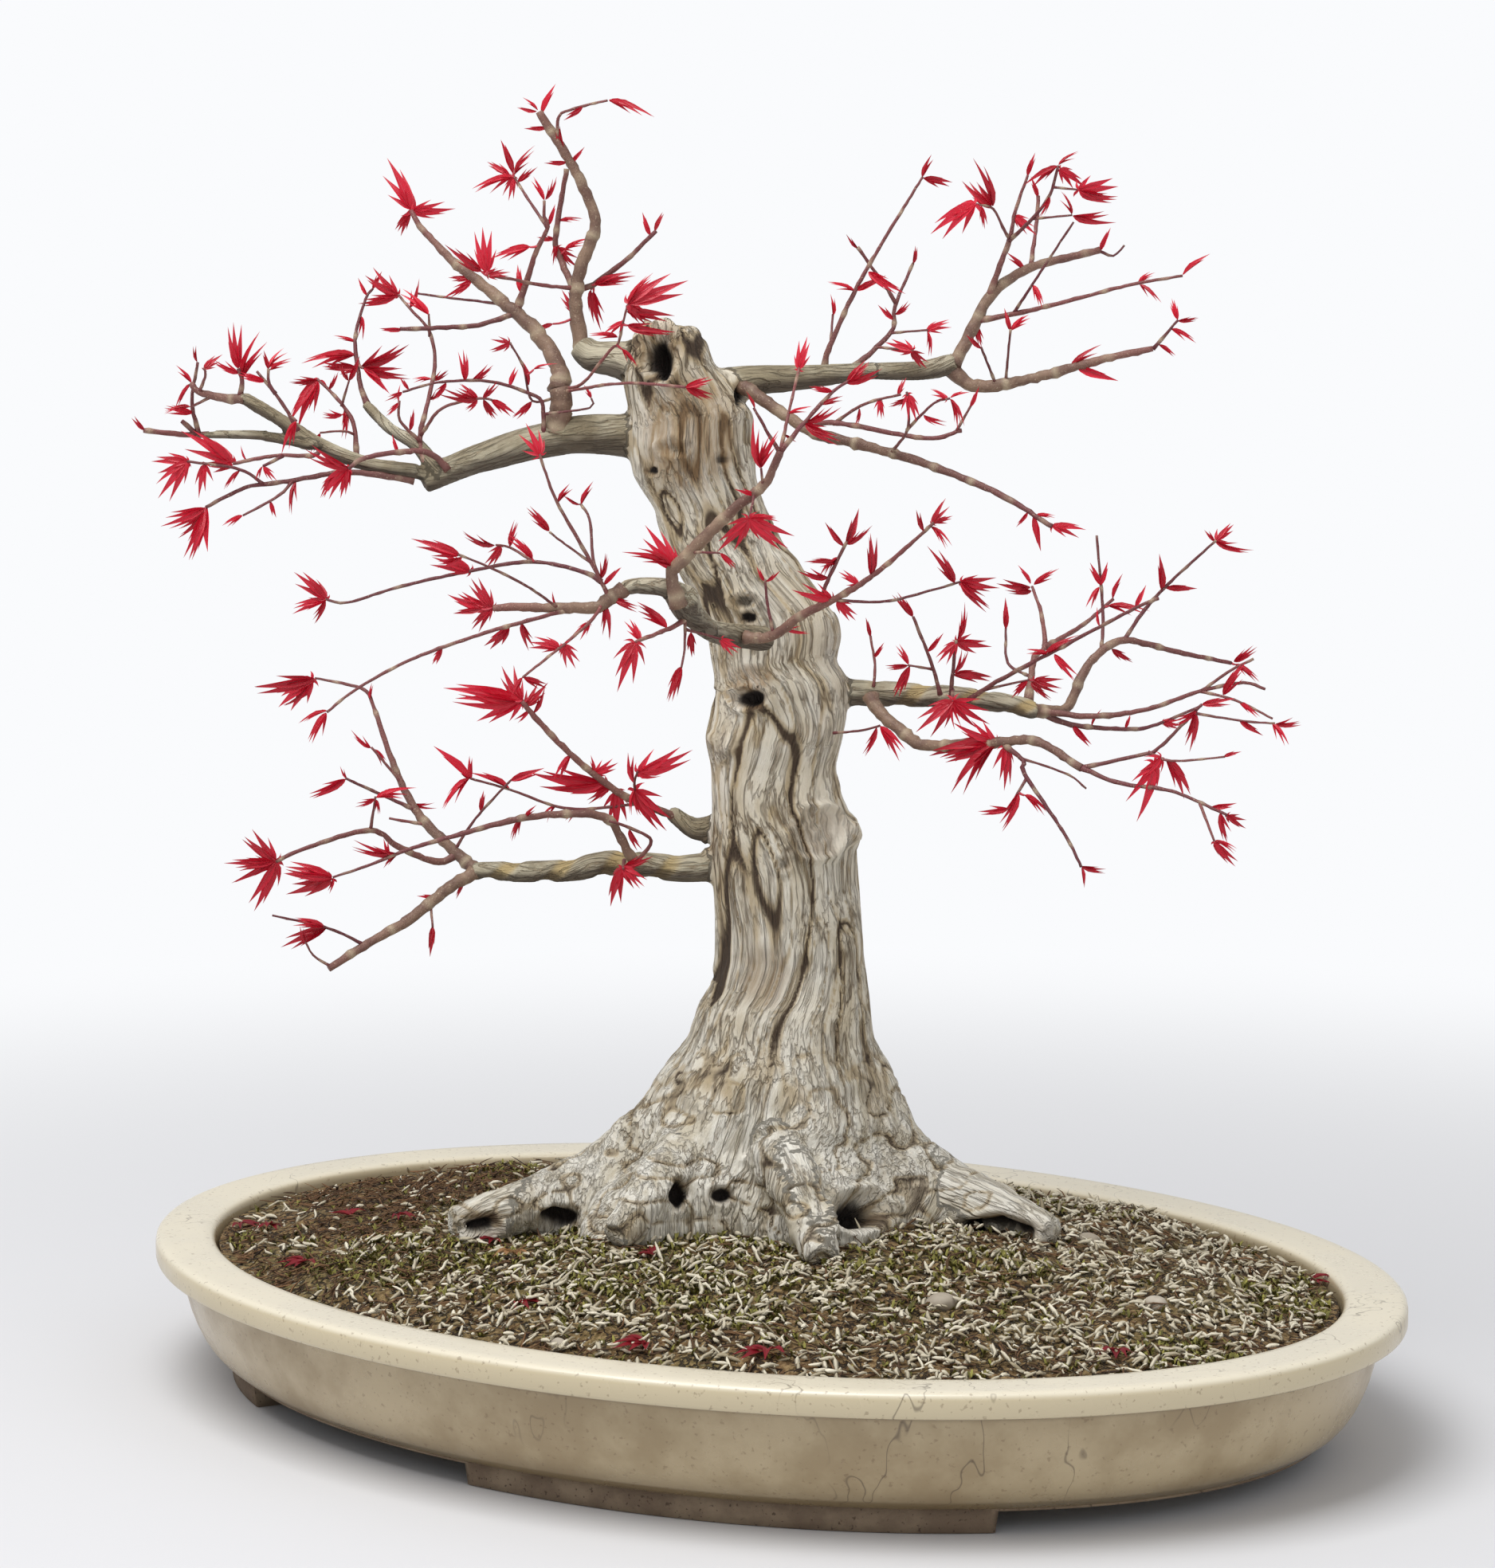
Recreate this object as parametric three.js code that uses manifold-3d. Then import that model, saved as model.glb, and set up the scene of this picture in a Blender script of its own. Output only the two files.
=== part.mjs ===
// A deshojo Japanese maple bonsai in a shallow oval pot, in millimetres, +Z up.
// The origin lies under the middle of the pot, on the surface it stands on, and +X runs along the pot.
import * as THREE from "three";
import { mergeVertices } from "three/addons/utils/BufferGeometryUtils.js";
import Module from "manifold-3d";

const wasm = await Module();
wasm.setup();

// Driving sizes.
const POT_LENGTH = 500;
const POT_WIDTH = 368;
const POT_HEIGHT = 56;
const RIM_WIDTH = 23;
const POT_SIDES = 32;
const FOOT_HEIGHT = 8;
const FOOT_OUTER_INSET = 28;
const FOOT_INNER_INSET = 42;
// The gaps between the feet, each cut straight through both sides: direction in degrees, width.
const FOOT_GAPS = [[56.2, 128], [170.9, 164]];
const DRAIN_RADIUS = 11;
const DRAIN_OFFSET = 95;
const DRAIN_SIDES = 16;
const GAP = 0.3;
const ROOT_GAP = 0.4;
const BLADE_THICKNESS = 0.7;
const STALK_SINK = 0.6;
const LEAST_LEAF_WIDTH = 2;
const TRUNK_SIDES = 24;
const LIMB_SIDES = 6;
const TWIG_SIDES = 3;
const THICK_RADIUS = 2.2;
const THICK_SIDES = 5;

// The tree is drawn by hand on an upright sheet of 1876 by 1968 tenths of a millimetre.
// The sheet hangs SHEET_DISTANCE in front of the eye, square to the line of sight.
// A place on it is across, down, and near, which says how far the point stands in front of
// the upright plane through the trunk: millimetres for roots, steps of LIMB_NEAR_STEP for limbs.
// The plane is PLANE_DISTANCE from the eye.
const EYE = new THREE.Vector3(762.1, -1262.4, 401.5);
const SIGHT_TURN = THREE.MathUtils.degToRad(31.29);
const SIGHT_PITCH = THREE.MathUtils.degToRad(6.503);
const SHEET_DISTANCE = 5000;
const SHEET_MIDDLE_ACROSS = 938;
const SHEET_MIDDLE_DOWN = 984;
const PLANE_DISTANCE = 1495;
const LIMB_NEAR_STEP = 1.6;
// One tenth of a millimetre on the sheet covers this many millimetres at the trunk.
const SHEET_TO_REAL = PLANE_DISTANCE / SHEET_DISTANCE;

const AHEAD = new THREE.Vector3(-Math.sin(SIGHT_TURN), Math.cos(SIGHT_TURN), 0);
const RIGHT = new THREE.Vector3(Math.cos(SIGHT_TURN), Math.sin(SIGHT_TURN), 0);
const UP = new THREE.Vector3(0, 0, 1);
const SIGHT = AHEAD.clone().multiplyScalar(Math.cos(SIGHT_PITCH)).addScaledVector(UP, -Math.sin(SIGHT_PITCH));
const SHEET_UP = AHEAD.clone().multiplyScalar(Math.sin(SIGHT_PITCH)).addScaledVector(UP, Math.cos(SIGHT_PITCH));

// The outline of the trunk down to the roots: down, left edge, right edge.
const TRUNK_OUTLINE = [
  [402, 815, 866], [425, 792, 887], [472, 780, 905], [560, 787, 947], [640, 822, 963], [702, 843, 1000],
  [775, 880, 1053], [828, 893, 1051], [925, 885, 1058], [1150, 897, 1081], [1240, 889, 1090],
  [1300, 863, 1098], [1340, 836, 1117], [1380, 800, 1140], [1420, 760, 1163], [1455, 700, 1213],
  [1495, 630, 1272], [1530, 590, 1308],
];
// Where the root ridges stand out of the flare, in degrees from the right, away from the eye.
const RIDGE_TURNS = [-8, -72, -122, -170, 140, 95, 45];
const RIDGE_SPREAD = 17;
const RIDGE_DEPTH = 0.32;
const TRUNK_BOTTOM = 44;

// Woody rows: thickness at the root and at the tip in millimetres, near at the root and at the tip,
// then the path as across, down pairs.
const ROOTS = [
  [27, 15, 8, 32, 745, 1488, 655, 1512, 572, 1540],
  [27, 14, 8, 40, 1175, 1494, 1252, 1518, 1320, 1548],
  [26, 13, 40, 80, 972, 1440, 1008, 1510, 1032, 1580],
  [22, 11, 34, 62, 860, 1450, 812, 1505, 772, 1552],
  [26, 13, -30, -62, 800, 1466, 700, 1484],
  [26, 13, -30, -60, 1080, 1466, 1190, 1484],
  [26, 12, -36, -66, 962, 1460, 975, 1480],
];
const LIMBS = [
  [17, 10, 0, -5, 815, 458, 765, 450, 742, 447, 727, 432],
  [17, 9, -2, 10, 800, 548, 745, 545, 695, 550, 595, 577, 530, 607],
  [7, 4.4, 10, -1, 548, 594, 525, 560, 490, 538, 458, 506],
  [6.6, 5, 12, 11, 525, 592, 460, 582, 405, 560, 362, 533, 302, 497],
  [4.6, 4, 14, 0, 395, 560, 350, 550, 320, 546, 255, 546],
  [14, 6.6, 0, -14, 890, 487, 945, 478, 1005, 474, 1095, 465],
  [6.6, 8.6, -14, -18, 1088, 465, 1155, 465, 1198, 456],
  [11, 7.5, 0, 3, 1040, 868, 1115, 871, 1215, 876, 1302, 891],
  [12, 7.2, 0, 10, 905, 1085, 855, 1090, 770, 1083, 705, 1093, 592, 1093],
  [11, 6, -4, -9, 900, 1038, 872, 1040, 840, 1018],
  [10, 8, 20, 50, 960, 802, 905, 795, 880, 785],
  [8, 12, 48, 60, 888, 789, 865, 768, 855, 748],
  [8, 6, 60, 62, 856, 746, 838, 738, 795, 735, 780, 741],
];

// The leafy shoots. A leaf row is its base across and down, its tip across and down, and its width.
// Open leaves spread their lobes, folded ones hang half closed, and buds are still closed.
const SPRAYS = [
  {
    name: "apex_shoot",
    twigs: [
      [6, 3, -5, -2, 733, 445, 724, 400, 722, 380, 723, 362, 727, 340, 742, 302, 747, 283, 743, 262, 726,
        222, 702, 182, 676, 140],
      [1.6, 1.1, -2, 5, 700, 178, 701, 147, 715, 138, 740, 131, 762, 126],
      [2.8, 2, -8, -1, 723, 364, 745, 357, 785, 327, 803, 310, 823, 290],
      [3, 2.2, -9, -8, 723, 368, 702, 322, 697, 300, 706, 240, 711, 212],
      [2, 1.4, -7, 9, 722, 362, 680, 358, 640, 350, 612, 346],
    ],
    open: [
      [703, 310, 722, 337, 16], [690, 397, 705, 365, 14], [605, 338, 602, 282, 22],
      [612, 340, 640, 340, 14],
    ],
    folded: [
      [762, 126, 812, 133, 20], [697, 305, 695, 330, 10], [710, 318, 737, 293, 10],
      [745, 370, 788, 343, 14], [745, 366, 738, 397, 12], [748, 368, 748, 413, 14],
      [604, 342, 567, 315, 12],
    ],
    buds: [],
  },
  {
    name: "upper_left_crown",
    twigs: [
      [9, 8, 3, 4, 695, 545, 703, 512, 703, 487],
      [7, 2.2, 4, -14, 703, 490, 701, 462, 680, 425, 648, 392, 636, 384, 605, 357, 578, 336, 562, 322, 547,
        306, 524, 280, 516, 264],
      [2.4, 2, -4, 5, 645, 397, 600, 408, 560, 411, 502, 413],
      [1.4, 1.1, -5, -12, 634, 383, 600, 378, 565, 374, 522, 368],
      [3.2, 1.4, -4, 5, 646, 393, 655, 372, 672, 318, 688, 284, 683, 272, 683, 252],
      [1.6, 1.2, 3, -4, 686, 286, 657, 241, 645, 222],
      [1.6, 1.3, 5, 38, 706, 492, 730, 488, 760, 483, 800, 481, 860, 486],
      [1.6, 1.1, 5, 18, 706, 488, 730, 482, 765, 440, 776, 430, 783, 400, 788, 382],
      [1.2, 1.1, 4, 10, 700, 497, 668, 503, 657, 462, 640, 430],
    ],
    open: [
      [510, 262, 493, 198, 26], [520, 262, 566, 265, 22], [642, 218, 636, 249, 20],
      [640, 430, 612, 437, 26], [790, 380, 860, 350, 22], [792, 378, 810, 410, 18],
      [783, 405, 755, 417, 14],
    ],
    folded: [
      [512, 262, 495, 297, 18], [592, 350, 560, 350, 12], [592, 352, 563, 375, 12],
      [640, 218, 592, 230, 12], [640, 215, 610, 203, 10], [646, 220, 661, 183, 10],
      [685, 248, 702, 225, 10], [788, 383, 806, 340, 12], [668, 508, 645, 527, 10],
    ],
    buds: [],
  },
  {
    name: "upper_left_curl",
    twigs: [
      [2, 1.1, 6, 13, 682, 545, 680, 505, 660, 492, 610, 478, 550, 480, 505, 492],
      [1.2, 1, 6, 9, 681, 520, 740, 512, 742, 500],
    ],
    open: [],
    folded: [],
    buds: [],
  },
  {
    name: "upper_left_riser",
    twigs: [
      [2.6, 1.2, 10, -6, 535, 588, 527, 550, 537, 505, 546, 455, 538, 415, 515, 388, 500, 370],
      [1.4, 1, 3, 1, 541, 422, 538, 394],
      [1.6, 1.2, 10, 14, 530, 548, 550, 516, 572, 506, 602, 500, 618, 502],
      [1.6, 1.3, 10, 11, 528, 555, 502, 528, 501, 503],
    ],
    open: [[500, 368, 455, 345, 16]],
    folded: [[538, 396, 509, 358, 10], [600, 500, 553, 503, 10], [600, 498, 575, 481, 10]],
    buds: [],
  },
  {
    name: "far_left_riser",
    twigs: [
      [2.6, 1.2, -1, -10, 462, 510, 453, 487, 446, 440, 447, 415, 459, 375, 468, 362],
      [1.4, 1.2, -5, -1, 447, 450, 452, 460, 456, 462],
    ],
    open: [],
    folded: [[450, 395, 458, 424, 10], [446, 446, 383, 446, 12]],
    buds: [],
  },
  {
    name: "far_left_curl",
    twigs: [
      [2.4, 1.4, 5, 0, 448, 576, 443, 530, 420, 497, 398, 476],
      [1.2, 1, 5, 9, 446, 545, 430, 541, 402, 543],
      [1.2, 1, 3, 7, 432, 507, 438, 478],
    ],
    open: [[398, 480, 356, 528, 22]],
    folded: [[398, 482, 386, 520, 14]],
    buds: [],
  },
  {
    name: "far_left_tip",
    twigs: [
      [3.6, 2.6, 11, 7, 306, 500, 285, 500, 250, 492, 240, 481],
      [2.2, 1.8, 11, 13, 300, 498, 304, 480, 299, 463],
      [1.4, 1.2, 8, 6, 268, 499, 240, 511],
      [1.4, 1.2, 9, 13, 250, 492, 258, 470, 255, 462],
    ],
    open: [[255, 464, 276, 445, 14]],
    folded: [[300, 466, 288, 414, 10]],
    buds: [],
  },
  {
    name: "far_left_tall_twig",
    twigs: [
      [2, 1.3, 16, 18, 374, 541, 358, 512, 338, 482, 337, 463],
      [1.6, 1.3, 17, 17, 346, 494, 322, 466],
      [1.2, 1, 17, 20, 362, 520, 372, 528],
    ],
    open: [],
    folded: [[337, 463, 354, 433, 10], [372, 528, 352, 563, 10]],
    buds: [],
  },
  {
    name: "far_left_grey_twigs",
    twigs: [
      [2.6, 2.2, 0, 5, 262, 546, 225, 545, 180, 540],
      [2.2, 1.3, 1, 5, 250, 546, 241, 505, 248, 455],
      [2.4, 2, 0, 2, 246, 545, 228, 528],
    ],
    open: [],
    folded: [],
    buds: [],
  },
  {
    name: "far_left_red_stem",
    twigs: [
      [2, 1.6, 15, 18, 400, 566, 392, 572, 345, 572, 292, 582],
      [1.6, 1.4, 17, 19, 355, 572, 330, 585],
    ],
    open: [[290, 581, 230, 543, 24]],
    folded: [[328, 585, 345, 604, 14]],
    buds: [],
  },
  {
    name: "left_drooping_shoot",
    twigs: [
      [3, 1.6, 12, 18, 520, 603, 480, 597, 430, 593, 355, 605, 308, 612, 258, 637],
      [1.6, 1.2, 17, 21, 368, 605, 350, 622, 305, 647],
      [1.6, 1.2, 17, 21, 332, 609, 300, 589, 235, 579],
    ],
    open: [[237, 580, 186, 583, 18], [232, 582, 200, 620, 20], [258, 585, 245, 622, 26]],
    folded: [[373, 604, 356, 640, 14], [257, 642, 241, 699, 10], [420, 594, 398, 622, 10]],
    buds: [],
  },
  {
    name: "left_front_red_stem",
    twigs: [
      [2.8, 2, 11, 19, 562, 590, 545, 572, 520, 566, 460, 574, 437, 588],
    ],
    open: [[437, 586, 397, 620, 22]],
    folded: [[438, 586, 380, 576, 12]],
    buds: [],
  },
  {
    name: "front_rising_shoot",
    twigs: [
      [5, 3, 62, 74, 852, 760, 842, 722, 858, 702, 918, 642, 958, 610, 972, 583, 980, 566],
      [1.8, 1.2, 74, 76, 979, 568, 965, 546, 946, 512],
      [1.6, 1.2, 74, 68, 981, 568, 985, 540, 1003, 461],
      [2.2, 1.4, 74, 72, 982, 566, 1010, 530, 1045, 492, 1066, 478],
      [1.2, 1, 73, 77, 948, 620, 940, 650],
      [1.2, 1, 67, 74, 868, 694, 903, 694],
      [1.2, 1, 73, 76, 958, 611, 955, 588],
    ],
    open: [
      [1003, 464, 1010, 423, 14], [940, 652, 905, 694, 32], [942, 652, 992, 692, 38],
      [846, 690, 868, 680, 20], [850, 716, 815, 664, 14],
    ],
    folded: [
      [1012, 534, 1050, 555, 12], [1045, 490, 1020, 487, 10], [1062, 480, 1092, 450, 12],
      [1062, 482, 1106, 470, 10], [1030, 508, 1056, 496, 10], [957, 588, 940, 540, 10],
      [845, 712, 798, 680, 12], [903, 694, 925, 712, 10],
    ],
    buds: [],
  },
  {
    name: "front_left_shoot",
    twigs: [
      [5, 2.6, 62, 66, 785, 738, 764, 752, 750, 762, 720, 763, 650, 762, 618, 763],
      [2, 1.2, 66, 77, 720, 764, 655, 781, 600, 797, 515, 828, 447, 865, 410, 894],
      [2, 1.2, 62, 77, 765, 752, 757, 735, 737, 697, 700, 632, 687, 600, 677, 570],
      [1.6, 1.2, 64, 58, 752, 727, 744, 700, 740, 652, 728, 632],
      [2, 1.2, 63, 48, 755, 730, 735, 719, 670, 705, 588, 717, 500, 737, 437, 756, 408, 752],
      [1.3, 1.1, 54, 58, 670, 704, 640, 687, 622, 684],
      [1.2, 1, 60, 73, 740, 708, 705, 680, 690, 668],
      [1.3, 1, 73, 90, 700, 762, 660, 735, 612, 711, 575, 696],
      [1.6, 1.1, 64, 90, 758, 760, 740, 781, 700, 815, 656, 850],
    ],
    open: [
      [618, 762, 590, 728, 18], [618, 765, 588, 790, 18], [677, 572, 660, 532, 36],
      [410, 752, 370, 718, 14], [628, 686, 614, 714, 18], [708, 808, 720, 842, 26],
      [702, 812, 662, 802, 18], [590, 716, 545, 700, 14], [740, 782, 720, 800, 12],
    ],
    folded: [
      [640, 786, 608, 822, 11], [655, 781, 662, 818, 10], [410, 755, 368, 762, 12],
      [640, 687, 642, 660, 10], [655, 850, 690, 862, 14], [410, 896, 385, 930, 10],
      [656, 850, 640, 872, 10],
    ],
    buds: [],
  },
  {
    name: "front_hanging_shoot",
    twigs: [
      [2.4, 1.6, 56, 70, 866, 770, 848, 785, 797, 806],
      [1.3, 1, 57, 63, 868, 785, 859, 815, 855, 838],
      [1.3, 1, 52, 52, 885, 790, 905, 802],
    ],
    open: [[795, 806, 778, 860, 44], [905, 802, 926, 824, 22], [802, 803, 790, 772, 16]],
    folded: [[855, 836, 838, 878, 11]],
    buds: [],
  },
  {
    name: "front_right_shoot",
    twigs: [
      [4, 1.4, 36, 66, 935, 800, 968, 799, 1005, 773, 1060, 745, 1105, 715, 1150, 676, 1172, 656],
      [2, 1.5, 47, 54, 1028, 762, 1036, 735, 1055, 695, 1063, 680],
      [1.4, 1.1, 49, 67, 1045, 756, 1110, 755, 1175, 739, 1205, 730],
      [1.4, 1.2, 38, 40, 970, 796, 963, 757, 960, 727],
    ],
    open: [
      [1170, 657, 1185, 628, 14], [1045, 753, 998, 743, 22], [1050, 755, 1075, 780, 22],
      [1205, 730, 1250, 738, 14], [1078, 735, 1054, 716, 12],
    ],
    folded: [
      [1054, 700, 1024, 718, 12], [1040, 724, 997, 724, 10], [1092, 722, 1098, 678, 11],
      [1198, 732, 1177, 692, 12], [985, 788, 1015, 800, 13],
    ],
    buds: [],
  },
  {
    name: "lower_right_tip",
    twigs: [
      [4.4, 1.8, 2, -16, 1296, 892, 1338, 889, 1357, 848, 1377, 822, 1412, 804, 1480, 819, 1545, 832],
      [2, 1.2, -12, -3, 1410, 806, 1436, 766, 1466, 733, 1526, 678],
      [1.8, 1.2, -10, -14, 1382, 820, 1384, 770, 1376, 672],
      [3, 1.4, 2, 14, 1298, 892, 1370, 899, 1440, 890, 1508, 867, 1560, 857, 1588, 865],
      [1.5, 1.2, 12, 13, 1508, 867, 1545, 841, 1573, 827],
      [1.4, 1.1, 12, 17, 1506, 869, 1550, 879, 1597, 902],
      [2.8, 1.3, 1, -9, 1300, 894, 1345, 910, 1412, 915, 1447, 911, 1508, 886],
    ],
    open: [[1526, 680, 1552, 656, 14], [1458, 905, 1484, 912, 10]],
    folded: [[1378, 735, 1362, 760, 12], [1555, 880, 1580, 896, 10], [1534, 874, 1555, 833, 10]],
    buds: [],
  },
  {
    name: "lower_right_twig_a",
    twigs: [
      [2, 1.4, 9, 14, 1180, 872, 1168, 830, 1146, 774],
      [1.2, 1, 11, 14, 1170, 840, 1140, 835],
    ],
    open: [],
    folded: [[1148, 776, 1128, 748, 12]],
    buds: [],
  },
  {
    name: "lower_right_twig_b",
    twigs: [
      [2, 1.3, 9, 13, 1193, 874, 1195, 850, 1200, 803],
    ],
    open: [[1200, 805, 1245, 816, 14], [1198, 806, 1176, 832, 26]],
    folded: [[1200, 805, 1219, 770, 10], [1197, 846, 1220, 815, 12], [1196, 848, 1250, 844, 12]],
    buds: [],
  },
  {
    name: "lower_right_long_twig",
    twigs: [
      [2.2, 1.6, 9, 28, 1216, 878, 1250, 856, 1340, 808, 1425, 763, 1454, 751],
      [1.3, 1, 11, 15, 1235, 866, 1292, 853],
    ],
    open: [[1300, 852, 1334, 864, 15]],
    folded: [[1310, 826, 1350, 790, 12]],
    buds: [],
  },
  {
    name: "lower_right_rear_riser",
    twigs: [
      [3.4, 1.5, -1, -20, 1290, 882, 1298, 825, 1311, 812, 1306, 768, 1295, 736],
      [2.6, 1.6, -15, -25, 1311, 812, 1355, 787, 1397, 752],
      [1.5, 1.3, -8, -22, 1293, 850, 1265, 832, 1262, 788],
    ],
    open: [],
    folded: [[1388, 764, 1438, 757, 10]],
    buds: [],
  },
  {
    name: "lower_right_front_pair",
    twigs: [
      [1.6, 1.2, 9, 17, 1195, 866, 1196, 880],
    ],
    open: [[1195, 880, 1152, 917, 40], [1197, 880, 1240, 915, 40]],
    folded: [[1196, 882, 1195, 912, 14]],
    buds: [],
  },
  {
    name: "lower_right_grey_twig",
    twigs: [
      [1.4, 1.2, 3, 1, 1096, 862, 1098, 835, 1092, 798],
    ],
    open: [],
    folded: [],
    buds: [],
  },
  {
    name: "trunk_front_pair",
    twigs: [
      [1.2, 1.1, 14, 24, 1046, 920, 1080, 917, 1104, 911],
    ],
    open: [],
    folded: [[1100, 912, 1090, 948, 10], [1104, 912, 1137, 946, 12]],
    buds: [],
  },
  {
    name: "right_hanging_shoot",
    twigs: [
      [5, 3, 8, 43, 1092, 874, 1103, 893, 1142, 926, 1165, 936, 1248, 932, 1302, 931, 1357, 964],
      [2.4, 1.4, 34, 48, 1256, 936, 1284, 955, 1286, 972, 1335, 1045, 1357, 1088],
      [1.2, 1, 34, 34, 1278, 952, 1340, 972, 1363, 990],
      [1.3, 1.1, 37, 40, 1288, 976, 1265, 1017],
      [2, 1.4, 43, 52, 1357, 963, 1430, 948, 1455, 938, 1508, 884],
      [1.2, 1, 51, 56, 1498, 896, 1560, 905, 1600, 908],
      [2.2, 1.4, 43, 59, 1357, 966, 1405, 983, 1470, 993, 1540, 1023],
      [1.3, 1.1, 57, 60, 1505, 1010, 1524, 1056],
      [1.2, 1, 48, 55, 1442, 946, 1470, 955, 1537, 950],
    ],
    open: [
      [1250, 936, 1195, 910, 28], [1258, 940, 1266, 986, 24], [1460, 944, 1440, 976, 34],
      [1445, 962, 1432, 1022, 40], [1540, 1022, 1566, 1042, 15], [1524, 1058, 1548, 1090, 12],
    ],
    folded: [
      [1250, 938, 1160, 942, 14], [1282, 996, 1262, 1044, 12], [1460, 956, 1503, 998, 13],
      [1530, 1022, 1538, 1060, 12], [1503, 888, 1475, 918, 12], [1600, 908, 1636, 912, 10],
      [1596, 908, 1618, 932, 10],
    ],
    buds: [],
  },
  {
    name: "upper_right_tall_riser",
    twigs: [
      [5, 2.8, -18, -28, 1196, 458, 1222, 410, 1241, 374, 1290, 337, 1380, 314],
      [3, 1.3, -21, -22, 1241, 374, 1252, 340, 1267, 300, 1274, 265, 1290, 220],
      [1.6, 1, -17, -12, 1266, 300, 1258, 285, 1246, 262, 1225, 256],
      [2, 1.3, -16, -8, 1268, 304, 1298, 272, 1318, 243, 1328, 208],
      [2, 1.8, -28, -32, 1293, 336, 1300, 285, 1303, 246],
      [2.6, 1.3, -19, -9, 1228, 404, 1300, 388, 1412, 359, 1484, 346],
      [1.5, 1.1, -16, -6, 1272, 395, 1293, 361, 1347, 279],
      [1.3, 1.1, -28, -28, 1378, 315, 1397, 321, 1411, 308],
      [1.2, 1, -8, -6, 1324, 236, 1352, 238],
      [1.2, 1, -9, -5, 1296, 276, 1345, 270],
    ],
    open: [
      [1224, 258, 1162, 285, 26], [1270, 270, 1298, 292, 20], [1332, 212, 1362, 234, 14],
      [1354, 240, 1410, 236, 18],
    ],
    folded: [
      [1230, 260, 1238, 284, 12], [1327, 208, 1286, 226, 10], [1328, 208, 1350, 184, 10],
      [1318, 246, 1312, 274, 10], [1352, 240, 1405, 262, 10], [1346, 272, 1400, 286, 12],
      [1428, 357, 1445, 338, 10],
    ],
    buds: [],
  },
  {
    name: "upper_right_tip_shoot",
    twigs: [
      [5.4, 2.6, -18, -10, 1192, 462, 1215, 482, 1245, 484, 1300, 474, 1380, 452, 1447, 438],
      [1.7, 1.4, -10, -7, 1447, 438, 1478, 402],
      [1.4, 1.1, -15, -9, 1262, 482, 1268, 414],
      [1.4, 1.1, -15, -9, 1250, 483, 1231, 436],
    ],
    open: [],
    folded: [[1470, 414, 1502, 424, 12]],
    buds: [],
  },
  {
    name: "upper_right_leaning_twig",
    twigs: [
      [2.8, 1.2, -12, -10, 1037, 474, 1036, 450, 1062, 387, 1092, 330, 1143, 246, 1158, 222],
      [1.3, 1.2, -14, -17, 1040, 434, 1045, 395],
    ],
    open: [],
    folded: [[1158, 224, 1200, 230, 11], [1088, 340, 1126, 366, 12]],
    buds: [],
  },
  {
    name: "upper_right_inner_riser",
    twigs: [
      [2.8, 1.4, -13, -20, 1062, 468, 1095, 441, 1121, 412, 1123, 385, 1146, 330],
      [1.8, 1.6, -18, -15, 1122, 380, 1109, 357, 1076, 310],
      [1.2, 1, -16, -12, 1116, 419, 1165, 414],
      [1.2, 1, -15, -10, 1100, 436, 1146, 440],
    ],
    open: [[1164, 415, 1192, 402, 12], [1146, 442, 1108, 432, 16], [1144, 442, 1162, 466, 22]],
    folded: [[1163, 416, 1172, 446, 12]],
    buds: [],
  },
  {
    name: "right_arching_shoot",
    twigs: [
      [5, 2, 0, 39, 932, 484, 955, 500, 1018, 541, 1080, 558, 1155, 580, 1250, 618, 1320, 661],
      [2.4, 2, 17, 26, 1012, 540, 1050, 531, 1160, 550, 1207, 540],
      [1.4, 1.1, 26, 28, 1200, 541, 1218, 510],
      [1.6, 1.2, 18, 29, 1045, 531, 1085, 507, 1130, 495],
      [1.5, 1.2, 28, 36, 1118, 569, 1139, 538, 1138, 492],
      [1.3, 1.1, 33, 38, 1139, 540, 1172, 506, 1192, 500],
    ],
    open: [
      [1320, 660, 1362, 664, 15], [1104, 502, 1105, 528, 15], [1140, 495, 1152, 530, 28],
      [1188, 500, 1166, 484, 16],
    ],
    folded: [[1138, 500, 1118, 512, 10], [1192, 502, 1216, 536, 10]],
    buds: [],
  },
  {
    name: "left_descending_shoot",
    twigs: [
      [4.6, 3, 10, 28, 596, 1096, 565, 1113, 515, 1153, 490, 1168, 440, 1197, 412, 1216],
      [1.5, 1, 24, 32, 457, 1184, 412, 1165, 342, 1149],
      [1.3, 1, 28, 31, 412, 1208, 393, 1199, 383, 1182],
      [1.1, 1, 17, 18, 541, 1134, 543, 1164],
    ],
    open: [],
    folded: [],
    buds: [],
  },
  {
    name: "left_ascending_shoot",
    twigs: [
      [4.6, 1.1, 8, -14, 596, 1092, 575, 1073, 537, 1036, 512, 1000, 492, 955, 468, 885, 460, 868, 440,
        860, 395, 851],
      [3, 1.8, 6, 26, 568, 1078, 550, 1082, 500, 1063, 465, 1042, 390, 1062, 346, 1081],
      [1.4, 1.1, 18, 19, 466, 1040, 471, 1000],
      [2, 1.3, -1, 6, 524, 1018, 462, 990, 434, 977],
      [1.5, 1.3, 0, 4, 536, 1036, 488, 1027],
      [1.4, 1.1, -4, 0, 503, 984, 466, 938],
      [1.5, 1.1, 5, 12, 568, 1070, 597, 1027, 641, 979],
    ],
    open: [[346, 1080, 303, 1046, 14], [346, 1084, 321, 1150, 14], [395, 851, 346, 888, 14]],
    folded: [
      [471, 1002, 521, 984, 12], [472, 1003, 480, 1024, 10], [396, 853, 358, 900, 10],
      [522, 1016, 542, 1042, 10], [434, 978, 392, 1003, 12], [468, 940, 489, 960, 12],
    ],
    buds: [],
  },
  {
    name: "left_inner_shoot",
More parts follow.
